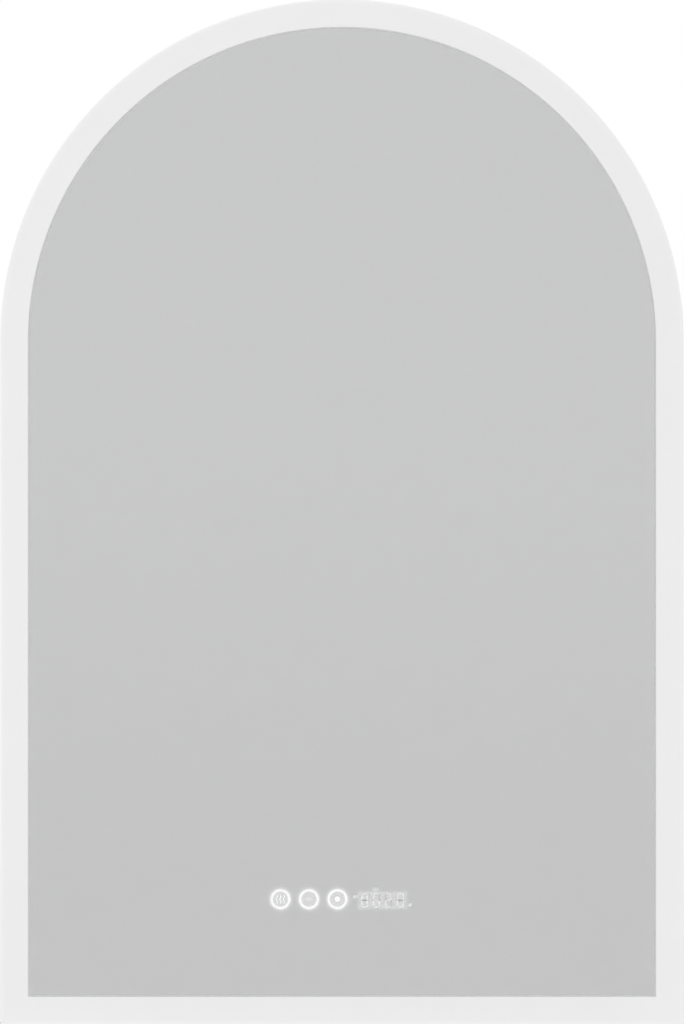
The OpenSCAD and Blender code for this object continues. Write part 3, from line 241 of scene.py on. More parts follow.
def makeLamps():
    middle = Vector((0.0, 0.0, (crownZ + bottomZ) / 2))
    for name, look in lampLooks.items():
        lamp = bpy.data.objects.new(name, bpy.data.lights.new(name, "AREA"))
        lamp.data.size = look["size"]
        lamp.data.energy = look["power"]
        lamp.location = look["place"]
        lamp.rotation_euler = (middle - Vector(look["place"])).to_track_quat("-Z", "Y").to_euler()
        lamp.visible_glossy = look["gloss"]
        lamp.visible_transmission = look["gloss"]
        lamp.visible_camera = False
        bpy.context.scene.collection.objects.link(lamp)


bpy.context.scene.view_settings.view_transform = "Standard"
makeCamera()
makeWorld()
makeFloor()
makeLamps()
print("stage ready")


# helpers of the finishes
def newFinish(name, fixed):  # fixed values go straight on the shader's own sockets
    material = bpy.data.materials.new(name)
    material.use_nodes = True
    tree = material.node_tree
    tree.nodes.clear()
    start = Field(tree)
    shader = start.node("ShaderNodeBsdfPrincipled", inputs=fixed)
    start.node("ShaderNodeOutputMaterial", inputs={"Surface": shader})
    return material, start, shader.socket.node.inputs


def objectPlace(start):
    return start.node("ShaderNodeTexCoord", output="Object")


def alongAxes(start, place):
    return [start.node("ShaderNodeSeparateXYZ", inputs={0: place}, output=i) for i in range(3)]


def noise(start, place, size, detail=2.0, stretch=None):
    if stretch:
        place = start.node("ShaderNodeMapping", inputs={"Vector": place, "Scale": stretch})
    return start.node("ShaderNodeTexNoise", inputs={"Vector": place, "Scale": 1.0 / size, "Detail": detail})


def cells(start, place, size, output="Distance"):
    inputs = {"Vector": place, "Scale": 1.0 / size}
    return start.node("ShaderNodeTexVoronoi", {"feature": "F1"}, inputs, output)


def bump(start, height, depth):
    return start.node("ShaderNodeBump", inputs={"Height": height, "Distance": depth, "Strength": 1.0})


# distance inwards from the outer edge of the border, for whatever lies on the arch
def insetField(start, place):
    x, y, z = alongAxes(start, place)
    up = (z - archZ).most(0.0)
    side = halfWidth - (x * x + up * up) ** 0.5
    return side.least(z - bottomZ)


# distance from the middle of one touch ring
def touchDistance(x, z, centre):
    return ((x - centre) * (x - centre) + (z - touchZ) * (z - touchZ)) ** 0.5


metalPattern = {
    "cloud": 0.09,
    "cloudShare": 0.55,
    "drawnShare": 0.65,
    "drawnAlong": 0.012,
}
metalLooks = {
    "anodised": {"colour": (0.56, 0.565, 0.575), "rough": 0.36, "roughSpread": 0.10, "spread": 0.035,
                 "grain": 0.00035, "depth": 0.000012, "stretch": (0.02, 1.0, 1.0)},
    "channel": {"colour": (0.56, 0.565, 0.575), "rough": 0.36, "roughSpread": 0.22, "spread": 0.05,
                "grain": 0.00035, "depth": 0.00004, "drawn": 0.0016},
    "zinc": {"colour": (0.47, 0.48, 0.50), "rough": 0.30, "roughSpread": 0.14, "spread": 0.07,
             "grain": 0.0006, "depth": 0.00002},
    "dieCast": {"colour": (0.40, 0.41, 0.42), "rough": 0.48, "roughSpread": 0.14, "spread": 0.06,
                "grain": 0.0008, "depth": 0.00004},
    "copper": {"colour": (0.78, 0.42, 0.26), "rough": 0.30, "roughSpread": 0.12, "spread": 0.06,
               "grain": 0.0006, "depth": 0.00001},
    "brass": {"colour": (0.72, 0.54, 0.24), "rough": 0.28, "roughSpread": 0.12, "spread": 0.05,
              "grain": 0.0005, "depth": 0.00001},
    "tin": {"colour": (0.66, 0.66, 0.64), "rough": 0.34, "roughSpread": 0.12, "spread": 0.05,
            "grain": 0.0005, "depth": 0.00002},
    "cell": {"colour": (0.60, 0.61, 0.62), "rough": 0.24, "roughSpread": 0.10, "spread": 0.04,
             "grain": 0.0004, "depth": 0.00001, "stretch": (1.0, 1.0, 0.05)},
    "driverShell": {"colour": (0.58, 0.585, 0.595), "rough": 0.34, "roughSpread": 0.16, "spread": 0.06,
                    "grain": 0.0005, "depth": 0.00003, "stretch": (0.03, 1.0, 1.0)},
}


def satinMetal(name, look):
    material, start, ports = newFinish(name, {"Metallic": 1.0})
    place = objectPlace(start)
    cloud = noise(start, place, metalPattern["cloud"], 4.0)
    grain = noise(start, place, look["grain"], 2.0, look.get("stretch"))
    if "drawn" in look:  # extrusion lines that follow the bar round the arch
        x, y, z = alongAxes(start, place)
        along = (x + z) * metalPattern["drawnAlong"]
        section = start.node("ShaderNodeCombineXYZ", inputs={0: insetField(start, place), 1: y, 2: along})
        grain = noise(start, section, look["drawn"], 4.0).blended(grain, metalPattern["drawnShare"])
    tone = cloud.blended(grain, metalPattern["cloudShare"]).stretched()
    start.feed(ports["Base Color"], tone.shades(look["colour"], 1 - look["spread"], 1 + look["spread"]))
    start.feed(ports["Roughness"], grain.around(look["rough"], look["roughSpread"]))
    start.feed(ports["Normal"], bump(start, grain, look["depth"]))
    return material


steelLook = {
    "colour": (0.60, 0.61, 0.63),
    "shades": (0.80, 1.12),
    "rough": 0.34,
    "spangleRough": 0.14,
    "fineRough": 0.08,
    "spangle": 0.007,
    "spangleShare": 0.7,
    "bend": 0.0049,
    "fine": 0.0006,
    "spangleDepth": 0.4,
    "depth": 0.00005,
}


def spangledSteel(name, look):
    material, start, ports = newFinish(name, {"Metallic": 1.0})
    place = objectPlace(start)
    bend = noise(start, place, look["bend"])
    flake = cells(start, place, look["spangle"], "Color")
    tone = start.node("ShaderNodeSeparateColor", inputs={0: flake})
    fine = noise(start, place, look["fine"], 3.0)
    shade = tone.blended(bend, look["spangleShare"]).clipped()
    start.feed(ports["Base Color"], shade.shades(look["colour"], *look["shades"]))
    rough = tone.around(look["rough"], look["spangleRough"])
    start.feed(ports["Roughness"], fine.around(rough, look["fineRough"]))
    start.feed(ports["Normal"], bump(start, fine + tone * look["spangleDepth"], look["depth"]))
    return material


powderLook = {
    "colour": (0.56, 0.56, 0.555),
    "shades": (0.955, 1.03),
    "rough": 0.46,
    "roughSpread": 0.16,
    "peel": 0.0013,
    "speck": 0.000286,
    "broad": 0.16,
    "peelShare": 0.40,
    "speckShare": 0.35,
    "broadShare": 0.25,
    "speckDepth": 0.3,
    "depth": 0.00007,
}


def powderCoat(name, look):
    material, start, ports = newFinish(name, {"Specular IOR Level": 0.5})
    place = objectPlace(start)
    peel = noise(start, place, look["peel"])
    speck = noise(start, place, look["speck"], 1.0)
    broad = noise(start, place, look["broad"])
    tone = peel * look["peelShare"] + speck * look["speckShare"] + broad * look["broadShare"]
    start.feed(ports["Base Color"], tone.stretched().shades(look["colour"], *look["shades"]))
    start.feed(ports["Roughness"], peel.around(look["rough"], look["roughSpread"]))
    start.feed(ports["Normal"], bump(start, peel + speck * look["speckDepth"], look["depth"]))
    return material


plasticPattern = {
    "flow": 0.03,
    "flowShare": 0.5,
    "shades": (0.9, 1.08),
    "roughSpread": 0.18,
}
plasticLooks = {
    "blackPlastic": {"colour": (0.022, 0.022, 0.024), "rough": 0.46, "grain": 0.0004, "depth": 0.00003},
    "blackRubber": {"colour": (0.028, 0.028, 0.028), "rough": 0.72, "grain": 0.0006, "depth": 0.00006,
                    "shine": 0.25},
    "ivoryPlastic": {"colour": (0.76, 0.74, 0.66), "rough": 0.42, "grain": 0.0005, "depth": 0.00003},
    "displayBlack": {"colour": (0.016, 0.016, 0.018), "rough": 0.30, "grain": 0.0006, "depth": 0.00001},
    "filmBacking": {"colour": (0.50, 0.56, 0.62), "rough": 0.34, "grain": 0.0020, "depth": 0.00006},
    "clipWhite": {"colour": (0.78, 0.78, 0.77), "rough": 0.44, "grain": 0.0005, "depth": 0.00002},
}


def mouldedPlastic(name, look):
    material, start, ports = newFinish(name, {"Specular IOR Level": look.get("shine", 0.5)})
    place = objectPlace(start)
    grain = noise(start, place, look["grain"])
    flow = noise(start, place, plasticPattern["flow"], 3.0)
    tone = flow.blended(grain, plasticPattern["flowShare"]).stretched()
    start.feed(ports["Base Color"], tone.shades(look["colour"], *plasticPattern["shades"]))
    start.feed(ports["Roughness"], grain.around(look["rough"], plasticPattern["roughSpread"]))
    start.feed(ports["Normal"], bump(start, grain, look["depth"]))
    return material


foamLook = {
    "colour": (0.10, 0.10, 0.105),
    "shades": (0.6, 1.25),
    "rough": 0.8,
    "roughSpread": 0.15,
    "pore": 0.0007,
    "poreEdge": (0.1, 0.6),
    "depth": 0.00028,
}


def cellFoam(name, look):
    material, start, ports = newFinish(name, {"Specular IOR Level": 0.2})
    pore = cells(start, objectPlace(start), look["pore"])
    tone = pore.between(*look["poreEdge"])
    start.feed(ports["Base Color"], tone.shades(look["colour"], *look["shades"]))
    start.feed(ports["Roughness"], look["rough"] + tone * look["roughSpread"])
    start.feed(ports["Normal"], bump(start, pore, look["depth"]))
    return material


opalLook = {
    "colour": (0.36, 0.36, 0.36),
    "shades": (0.98, 1.02),
    "strength": 0.62,
    "level": 0.782,
    "cloud": 0.05,
    "cloudLift": 0.02,
    # a painted highlight along the outer edge
    "paintedEdgeReach": 0.0012,
    "paintedEdgeHighlight": 0.14,
    # painted shade on the ledge under the glass, in the emission and the colour
    "ledge": (0.0009, 0.0004),
    "ledgeShade": 0.22,
    # painted light: the emission is stronger towards the foot
    "paintedFootFrom": archZ + 0.07,
    "paintedFootLight": 0.052,
    "rough": 0.44,
    "roughSpread": 0.08,
    "grain": 0.0007,
    "depth": 0.00001,
}


# lit opal, its emission the border's own light: a painted highlight at its outer edge, painted light towards
# the foot, and painted shade on the ledge under the glass
def litOpal(name, look):
    fixed = {"Emission Strength": look["strength"], "Specular IOR Level": 0.35}
    material, start, ports = newFinish(name, fixed)
    place = objectPlace(start)
    inset = insetField(start, place)
    # painted light, stronger towards the foot
    foot = (look["paintedFootFrom"] - alongAxes(start, place)[2]).most(0.0) * look["paintedFootLight"]
    # a painted highlight at the outer edge
    edge = inset.most(0.0).falloff(look["paintedEdgeReach"])
    cloud = noise(start, place, look["cloud"], 3.0)
    grain = noise(start, place, look["grain"], 1.0)
    outer, inner = look["ledge"]
    # painted shade on the ledge under the glass
    ledge = inset.between(glassInset - outer, glassInset - inner)
    level = cloud.around(look["level"] + foot + edge * look["paintedEdgeHighlight"], look["cloudLift"])
    level = level * (1.0 - ledge * look["ledgeShade"])
    start.feed(ports["Emission Color"], level.clipped().mixed(black, white))
    # the colour is darker on the ledge too, as painted shade
    start.feed(ports["Base Color"], (cloud * (1.0 - ledge)).shades(look["colour"], *look["shades"]))
    start.feed(ports["Roughness"], grain.around(look["rough"], look["roughSpread"]))
    start.feed(ports["Normal"], bump(start, grain, look["depth"]))
    return material


silverLook = {
    # a painted reflection: the silver's colour darkens from the top towards the foot
    "top": (0.574, 0.574, 0.578),
    "foot": (0.547, 0.546, 0.552),
    "paintedReflectionFadeTop": archZ - 0.03,
    "paintedReflectionFadeFoot": bottomZ + 0.10,
    "rough": 0.016,
    "roughSpread": 0.010,
    "roughPatch": 0.12,
    "ringOuter": 0.0085,
    "ringInner": 0.0069,
    # painted glow round each touch ring, and painted light inside it
    "paintedHalo": 0.36,
    "paintedHaloReach": 0.00105,
    "paintedRingFill": 0.14,
    "paintedInnerHalo": 0.15,
    "paintedInnerReach": 0.0005,
    # painted glow round the display
    "paintedGlow": 0.098,
    "paintedGlowWide": 0.0195,
    "paintedGlowHigh": 0.0060,
    "paintedGlowFade": 0.0038,
    "paintedGlowPatch": 0.0026,
    "paintedGlowPatchRange": (0.25, 0.75),
    "paintedGlowFloor": 0.55,
}


# grey silver, with a painted reflection that darkens towards the foot, and painted glow in its emission round
# the rings and the digits
def frontSilver(name, look):
    material, start, ports = newFinish(name, {"Metallic": 1.0, "Emission Strength": 1.0})
    place = objectPlace(start)
    x, y, z = alongAxes(start, place)
    # a painted reflection, darker towards the foot
    height = z.between(look["paintedReflectionFadeFoot"], look["paintedReflectionFadeTop"])
    start.feed(ports["Base Color"], height.mixed(look["foot"], look["top"]))
    cloud = noise(start, place, look["roughPatch"], 3.0)
    start.feed(ports["Roughness"], cloud.around(look["rough"], look["roughSpread"]))
    light = 0.0
    # painted glow: a halo outside each ring and painted light inside it
    for centre in touchXs:
        away = touchDistance(x, z, centre)
        paintedHaloOutside = (away - look["ringOuter"]).most(0.0).falloff(look["paintedHaloReach"]) * look["paintedHalo"]
        inner = (look["ringInner"] - away).most(0.0).falloff(look["paintedInnerReach"]) * look["paintedInnerHalo"]
        within = away.below((look["ringInner"] + look["ringOuter"]) / 2)
        light = light + paintedHaloOutside * (1.0 - within) + (inner + look["paintedRingFill"]) * within
    # painted glow round the display
    wide, high, fade = look["paintedGlowWide"], look["paintedGlowHigh"], look["paintedGlowFade"]
    paintedGlowBox = ((1.0 - abs(x - displayX).between(wide, wide + fade))
           * (1.0 - abs(z - displayZ).between(high, high + fade)))
    patch = noise(start, place, look["paintedGlowPatch"], 3.0).between(*look["paintedGlowPatchRange"])
    light = light + paintedGlowBox * (look["paintedGlowFloor"] + patch) * look["paintedGlow"]
    start.feed(ports["Emission Color"], light.clipped().mixed(black, white))
    return material


clearLook = {
    "colour": (0.993, 0.994, 0.995),
    "bending": 1.5,
    "rough": 0.004,
    "patch": 0.05,
}


def clearGlass(name, look):
    material, start, ports = newFinish(name, {
        "Base Color": look["colour"], "Transmission Weight": 1.0, "IOR": look["bending"]})
    start.feed(ports["Roughness"], noise(start, objectPlace(start), look["patch"]) * look["rough"])
    return material


glowLooks = {
    "chip": {"colour": (1.0, 0.97, 0.88), "body": (1.0, 0.97, 0.88), "dim": 0.9, "strength": 2.0,
             "patch": 0.002, "range": (0.3, 0.7)},
    "digitLit": {"colour": (0.86, 0.86, 0.87), "body": (0.10, 0.10, 0.10), "dim": 0.72, "strength": 0.96,
                 "patch": 0.0017, "range": (0.38, 0.62), "faintOver": displayZ + 0.0071, "faintEdge": 0.0004},
    # painted light: the unlit bars glow too
    "digitDark": {"colour": (0.52, 0.52, 0.53), "body": (0.08, 0.08, 0.08), "dim": 0.72, "strength": 0.80,
                  "patch": 0.0019, "range": (0.3, 0.7),
                  "caught": (0.60, 0.60, 0.61), "caughtFrom": 0.0009, "caughtFull": 0.0016},
}


def glowing(name, look):
    material, start, ports = newFinish(name, {"Emission Strength": look["strength"], "Roughness": 0.5})
    place = objectPlace(start)
    tone = noise(start, place, look["patch"], 3.0).between(*look["range"])
    if "faintOver" in look:  # the mark over the digits is fainter than they are
        over = alongAxes(start, place)[2].between(look["faintOver"] - look["faintEdge"], look["faintOver"])
        tone = tone * (1.0 - over)
    start.feed(ports["Base Color"], tone.shades(look["body"], look["dim"], 1.0))
    light = tone.shades(look["colour"], look["dim"], 1.0)
    if "caught" in look:  # unlit bars catch more of their neighbours' light away from the middle line
        off = abs(alongAxes(start, place)[2] - displayZ).between(look["caughtFrom"], look["caughtFull"])
        light = off.mixed(light, look["caught"])
    start.feed(ports["Emission Color"], light)
    return material


diffuserLook = {
    "strength": 0.91,
    "symbols": ((0.99, 0.93), (0.72, 0.72), (0.97, 0.74)),  # light in the middle and around, for each ring
    "discEdge": 0.0031,
    "discFade": 0.0008,
    "ringStart": 0.0060,
    "ringFade": 0.0006,
    "bodyDark": (0.05, 0.05, 0.05),
    "bodyLit": (0.12, 0.12, 0.12),
}


# brightest under its ring, and dimmer in the middle where the symbol is
def touchLight(name, look):
    material, start, ports = newFinish(name, {"Emission Strength": look["strength"], "Roughness": 0.5})
    x, y, z = alongAxes(start, objectPlace(start))
    level = 0.0
    for centre, (middle, around) in zip(touchXs, look["symbols"]):
        away = touchDistance(x, z, centre)
        near = abs(x - centre).below(touchPitch / 2)
        outward = away.between(look["discEdge"], look["discEdge"] + look["discFade"])
        symbol = middle + outward * (around - middle)
        ring = away.between(look["ringStart"], look["ringStart"] + look["ringFade"])
        level = level + near * (symbol * (1.0 - ring) + ring)
    start.feed(ports["Emission Color"], level.clipped().mixed(black, white))
    start.feed(ports["Base Color"], level.clipped().mixed(look["bodyDark"], look["bodyLit"]))
    return material


boardLook = {
    "mask": (0.004, 0.085, 0.030),
    "track": (0.020, 0.200, 0.075),
    "trackScale": 260.0,
    "trackBend": 0.35,
    "trackEdge": (0.06, 0.10),
    "trackShare": 0.8,
    "weave": 0.0005,
    "rough": 0.30,
    "roughSpread": 0.1,
    "depth": 0.00003,
}


def greenBoard(name, look):
    material, start, ports = newFinish(name, {"Specular IOR Level": 0.5})
    place = objectPlace(start)
    track = start.node("ShaderNodeTexVoronoi", {"feature": "DISTANCE_TO_EDGE"}, {
        "Vector": place, "Scale": look["trackScale"], "Randomness": look["trackBend"]})
    copper = 1.0 - track.between(*look["trackEdge"])
    weave = noise(start, place, look["weave"], 1.0)
    tone = copper.blended(weave, look["trackShare"])
    start.feed(ports["Base Color"], tone.mixed(look["mask"], look["track"]))
    start.feed(ports["Roughness"], look["rough"] + weave * look["roughSpread"])
    start.feed(ports["Normal"], bump(start, copper, look["depth"]))
    return material


stripLook = {
    "board": (0.82, 0.82, 0.79),
    "pad": (0.62, 0.34, 0.16),
    "pitch": 0.020,
    "padEdge": (0.10, 0.12),
    "footRun": (0.034, 0.036),
    "rough": 0.42,
    "roughSpread": 0.12,
    "grain": 0.002,
}


# a white board with copper pads at an even pitch round the arch, down the sides and along the foot
def lightStrip(name, look):
    material, start, ports = newFinish(name, {"Specular IOR Level": 0.5})
    place = objectPlace(start)
    x, y, z = alongAxes(start, place)
    turn = start.calc("ARCTAN2", (z - archZ).most(0.0), abs(x)) * halfWidth
    run = turn + z.least(archZ) + abs(x) * (1.0 - (z - bottomZ).between(*look["footRun"]))
    step = (run / look["pitch"]).fraction()
    pad = 1.0 - abs(step - 0.5).between(*look["padEdge"])
    start.feed(ports["Base Color"], pad.mixed(look["board"], look["pad"]))
    start.feed(ports["Metallic"], pad)
    start.feed(ports["Roughness"], look["rough"] + noise(start, place, look["grain"]) * look["roughSpread"])
    return material


filmLook = {
    "dark": (0.50, 0.30, 0.11),
    "light": (0.62, 0.40, 0.17),
    "crinkle": 0.012,
    "rough": 0.22,
    "roughSpread": 0.2,
    "depth": 0.0002,
}


def heatingFilm(name, look):
    material, start, ports = newFinish(name, {"Specular IOR Level": 0.6})
    crinkle = noise(start, objectPlace(start), look["crinkle"], 4.0)
    start.feed(ports["Base Color"], crinkle.stretched().mixed(look["dark"], look["light"]))
    start.feed(ports["Roughness"], look["rough"] + crinkle * look["roughSpread"])
    start.feed(ports["Normal"], bump(start, crinkle, look["depth"]))
    return material


wirePattern = {
    "light": 1.12,
    "rough": 0.36,
    "roughSpread": 0.12,
    "grain": 0.0009,
    "depth": 0.00002,
    "stripes": 1100.0,
    "stripeEdge": 0.08,
}
wireLooks = {
    "brownWire": {"colour": (0.22, 0.08, 0.03)},
    "blueWire": {"colour": (0.03, 0.12, 0.45)},
    "earthWire": {"colour": (0.06, 0.30, 0.05), "second": (0.80, 0.68, 0.05)},
    "whiteWire": {"colour": (0.76, 0.76, 0.75)},
    "blackWire": {"colour": (0.024, 0.024, 0.024)},
}


def insulation(name, look):
    material, start, ports = newFinish(name, {"Specular IOR Level": 0.5})
    place = objectPlace(start)
    grain = noise(start, place, wirePattern["grain"])
    if "second" in look:  # two colours in slanted stripes
        x, y, z = alongAxes(start, place)
        wave = ((x + z + y) * wirePattern["stripes"]).sine()
        band = wave.between(-wirePattern["stripeEdge"], wirePattern["stripeEdge"])
        start.feed(ports["Base Color"], band.mixed(look["colour"], look["second"]))
    else:
        start.feed(ports["Base Color"], grain.stretched().shades(look["colour"], 1.0, wirePattern["light"]))
    start.feed(ports["Roughness"], grain.around(wirePattern["rough"], wirePattern["roughSpread"]))
    start.feed(ports["Normal"], bump(start, grain, wirePattern["depth"]))
    return material


finishes = {
    "galvanised": spangledSteel("galvanised", steelLook),
    "powderWhite": powderCoat("powderWhite", powderLook),
    "greyFoam": cellFoam("greyFoam", foamLook),
    "opal": litOpal("opal", opalLook),
    "glass": clearGlass("glass", clearLook),
    "silver": frontSilver("silver", silverLook),
    "touchLight": touchLight("touchLight", diffuserLook),
    "heatingFilm": heatingFilm("heatingFilm", filmLook),
    "board": greenBoard("board", boardLook),
    "strip": lightStrip("strip", stripLook),
}
for makeFinish, looks in ((satinMetal, metalLooks), (mouldedPlastic, plasticLooks),
                          (glowing, glowLooks), (insulation, wireLooks)):
    for name, look in looks.items():
        finishes[name] = makeFinish(name, look)
print("finishes:", len(finishes))


# which finish each node of the frame takes
nodeFinish = {
    "wall_rail": "anodised", "hanger_rail": "anodised", "hanger_backing": "galvanised",
    "hanger_rivets": "zinc", "rear_panel": "powderWhite", "panel_gasket": "greyFoam",
    "panel_screws": "zinc", "frame_arch": "channel", "frame_bottom": "channel", "corner_keys": "dieCast",
    "corner_screws": "zinc", "wall_bumpers": "blackRubber", "light_border": "opal",
    "border_tape": "greyFoam", "mirror_glass": "glass", "silver_coat": "silver",
    "safety_film": "filmBacking", "glass_tape": "greyFoam", "demister_pad": "heatingFilm",
    "demister_track": "copper", "demister_joint": "blackPlastic", "led_strip": "strip", "led_chips": "chip",
    "driver_case": "driverShell", "driver_end_caps": "blackPlastic", "driver_bolts": "zinc",
    "control_housing": "blackPlastic", "control_cover": "blackPlastic", "cover_screws": "zinc",
    "control_board": "board", "board_parts": "blackPlastic", "clock_battery": "cell",
    "housing_tape": "greyFoam", "display_body": "displayBlack", "digits_lit": "digitLit",
    "digits_dark": "digitDark", "touch_diffusers": "touchLight", "touch_foils": "copper",
    "touch_pins": "brass", "ring_leds": "chip", "terminal_box": "ivoryPlastic",
    "access_cover": "powderWhite", "access_screws": "zinc", "cable_grommet": "blackRubber",
    "terminal_block": "ivoryPlastic", "terminal_screws": "brass", "cable_clamp": "blackPlastic",
    "clamp_screws": "zinc", "earth_stud": "brass", "earth_lug": "tin", "earth_nut": "brass",
    "live_wire": "brownWire", "neutral_wire": "blueWire", "earth_wire": "earthWire",
    "led_lead": "whiteWire", "control_lead": "whiteWire", "demister_lead": "blackWire",
    "wire_clips": "clipWhite",
}
for name, node in nodes.items():
    node.data.materials.clear()
    node.data.materials.append(finishes[nodeFinish[name]])
print("finishes on the frame's nodes:", len(nodeFinish))


# helpers of the shapes
weldGap = 0.000002
foldAngle = 0.3  # in radians: an edge with less than this is flat


def seatPiece(name, shape, finish, body, standsFor, weighted=True):
    mesh = bpy.data.meshes.new(name)
    shape.to_mesh(mesh)
    shape.free()
    piece = bpy.data.objects.new(name, mesh)
    bpy.context.scene.collection.objects.link(piece)
    mesh.materials.append(finishes[finish])
    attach(piece, body)
    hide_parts(*standsFor)
    if weighted:
        normals = piece.modifiers.new("evenNormals", "WEIGHTED_NORMAL")
        normals.keep_sharp = True
    return piece


def sharpen(shape, angle):
    for face in shape.faces:
        face.smooth = True
    for edge in shape.edges:
        edge.smooth = edge.calc_face_angle(0.0) < math.radians(angle)


def bevelEdges(shape, edges, width, steps):
    bmesh.ops.bevel(shape, geom=edges, offset=width, offset_type="OFFSET", affect="EDGES",
                    segments=steps, profile=0.5, material=-1)


mitreLook = {
    "bars": ("frame_arch", "frame_bottom"),
    "broken": 0.00022,
    "near": 0.00002,
}


# the edges round the two mitres of a frame bar are broken, so that the joint shows as a fine line
def breakMitre(shape):
    def onMitre(vert):
        return abs(barHigh.x - abs(vert.co.x) - (vert.co.z - barLow.z)) < mitreLook["near"]

    rim = [edge for edge in shape.edges
           if edge.calc_face_angle(0.0) > foldAngle and onMitre(edge.verts[0]) and onMitre(edge.verts[1])]
    bevelEdges(shape, rim, mitreLook["broken"], 1)


refinedLook = {
    "flat": 0.4,  # in degrees: faces that meet at less than this are one
    "sharp": 32.0,
    "softSteps": 2,
    "widths": {  # how much each node's edges are softened
        "light_border": 0.0, "frame_arch": 0.0, "frame_bottom": 0.0, "rear_panel": 0.0,
        "wall_rail": 0.0004, "hanger_rail": 0.0004, "hanger_backing": 0.0003, "access_cover": 0.0003,
        "panel_screws": 0.00015, "access_screws": 0.00015, "corner_screws": 0.0001, "driver_bolts": 0.00015,
        "driver_case": 0.0003, "driver_end_caps": 0.0005, "control_housing": 0.0, "control_cover": 0.0004,
        "terminal_box": 0.0, "terminal_block": 0.0003, "cable_clamp": 0.0004, "wire_clips": 0.0003,
        "live_wire": 0.0, "neutral_wire": 0.0, "earth_wire": 0.0, "led_lead": 0.0, "control_lead": 0.0,
        "demister_lead": 0.0, "corner_keys": 0.0004, "clock_battery": 0.0004, "touch_diffusers": 0.0,
        "earth_nut": 0.0002, "earth_lug": 0.0, "cover_screws": 0.0001, "clamp_screws": 0.0001,
    },
}


# a copy of a node with its faces merged, its round faces smooth and its edges softened
def refinedNode(name, soften):
    shape = bmesh.new()
    shape.from_mesh(nodes[name].data)
    bmesh.ops.remove_doubles(shape, verts=shape.verts, dist=weldGap)
    bmesh.ops.dissolve_limit(shape, angle_limit=math.radians(refinedLook["flat"]),
                             verts=shape.verts, edges=shape.edges)
    if name in mitreLook["bars"]:
        breakMitre(shape)
    sharpen(shape, refinedLook["sharp"])
    body = nodes[name]["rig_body"]
    piece = seatPiece(name + "_refined", shape, nodeFinish[name], body, [name], weighted=False)
    layer = piece.data.attributes.get("custom_normal")
    if layer:
        piece.data.attributes.remove(layer)
    if soften:
        edge = piece.modifiers.new("softEdges", "BEVEL")
        edge.width = soften
        edge.segments = refinedLook["softSteps"]
        edge.limit_method = "ANGLE"
        edge.angle_limit = math.radians(refinedLook["sharp"])
        edge.use_clamp_overlap = True
    normals = piece.modifiers.new("evenNormals", "WEIGHTED_NORMAL")
    normals.keep_sharp = not soften


# turns a profile of radius and depth round the wall's direction, once at each place
def turnedPiece(name, places, profile, finish, standsFor, look):
    shape = bmesh.new()
    for place in places:
        line = [shape.verts.new(Vector(place) + Vector((radius, depth, 0.0))) for radius, depth in profile]
        edges = [shape.edges.new(pair) for pair in zip(line, line[1:])]
        bmesh.ops.spin(shape, geom=line + edges, cent=place, axis=(0.0, 1.0, 0.0),
                       angle=math.tau, steps=look["steps"], use_merge=True)
    bmesh.ops.remove_doubles(shape, verts=shape.verts, dist=weldGap / 2)
    bmesh.ops.recalc_face_normals(shape, faces=shape.faces)
    sharpen(shape, look["sharp"])
    seatPiece(name, shape, finish, mirrorBody, standsFor)


# the glass: an arched plate with a polished pencil edge
glassLook = {
    "clearBehind": 0.00003,
    "edge": 0.0006,
    "edgeSteps": 4,
    "archSteps": 160,
    "rimAngle": 1.4,
    "level": 0.0001,
    "sharp": 40.0,
}


def makeGlass():
    radius = halfWidth - glassInset
    foot = bottomZ + glassInset
    shape = bmesh.new()
    first = shape.verts.new((radius, glassLow.y, archZ))
    turned = bmesh.ops.spin(shape, geom=[first], cent=(0.0, glassLow.y, archZ), axis=(0.0, -1.0, 0.0),
                            angle=math.pi, steps=glassLook["archSteps"])
    last = [part for part in turned["geom_last"] if isinstance(part, bmesh.types.BMVert)][0]
    legs = bmesh.ops.extrude_vert_indiv(shape, verts=[first, last])["verts"]
    for leg in legs:
        leg.co.z = foot
    bmesh.ops.contextual_create(shape, geom=legs)
    face = bmesh.ops.contextual_create(shape, geom=shape.edges[:])["faces"]
    raised = bmesh.ops.extrude_face_region(shape, geom=face)
    moved = [part for part in raised["geom"] if isinstance(part, bmesh.types.BMVert)]
    depth = glassHigh.y - glassLow.y - glassLook["clearBehind"]
    bmesh.ops.translate(shape, verts=moved, vec=(0.0, depth, 0.0))
    bmesh.ops.recalc_face_normals(shape, faces=shape.faces)
    rims = [edge for edge in shape.edges if edge.calc_face_angle(0.0) > glassLook["rimAngle"]
            and abs(edge.verts[0].co.y - edge.verts[1].co.y) < glassLook["level"]]
    bevelEdges(shape, rims, glassLook["edge"], glassLook["edgeSteps"])
    sharpen(shape, glassLook["sharp"])
    seatPiece("polished_glass", shape, "glass", mirrorBody, ["mirror_glass"])


makeGlass()
print("glass made")
for name, width in refinedLook["widths"].items():
    refinedNode(name, width)
print("refined nodes:", len(refinedLook["widths"]))


# the rivets of the hanger rail, with domed heads behind and spread tails in front
rivetLow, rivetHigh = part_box("hanger_rivets")
rivetHead = (rivetHigh.z - rivetLow.z) / 2
rivetZ = (rivetLow.z + rivetHigh.z) / 2
rivetLook = {
    "count": 5,
    "headHeight": 0.0014,
    "dome": ((0.99, 0.35), (0.86, 0.72), (0.6, 0.95)),  # shares of the head's radius and height
    "shank": 0.0024,
    "tail": 0.0036,
    "tailHeight": 0.0030,
    "tailTip": 0.6,
    "tailEdge": 0.0009,
    "collar": (1.2, 0.8),
    "dimple": 0.0011,
    "dimpleRim": (1.5, 0.0003),
    "dimpleFloor": (0.9, 0.0012),
    "steps": 28,
    "sharp": 50.0,
}


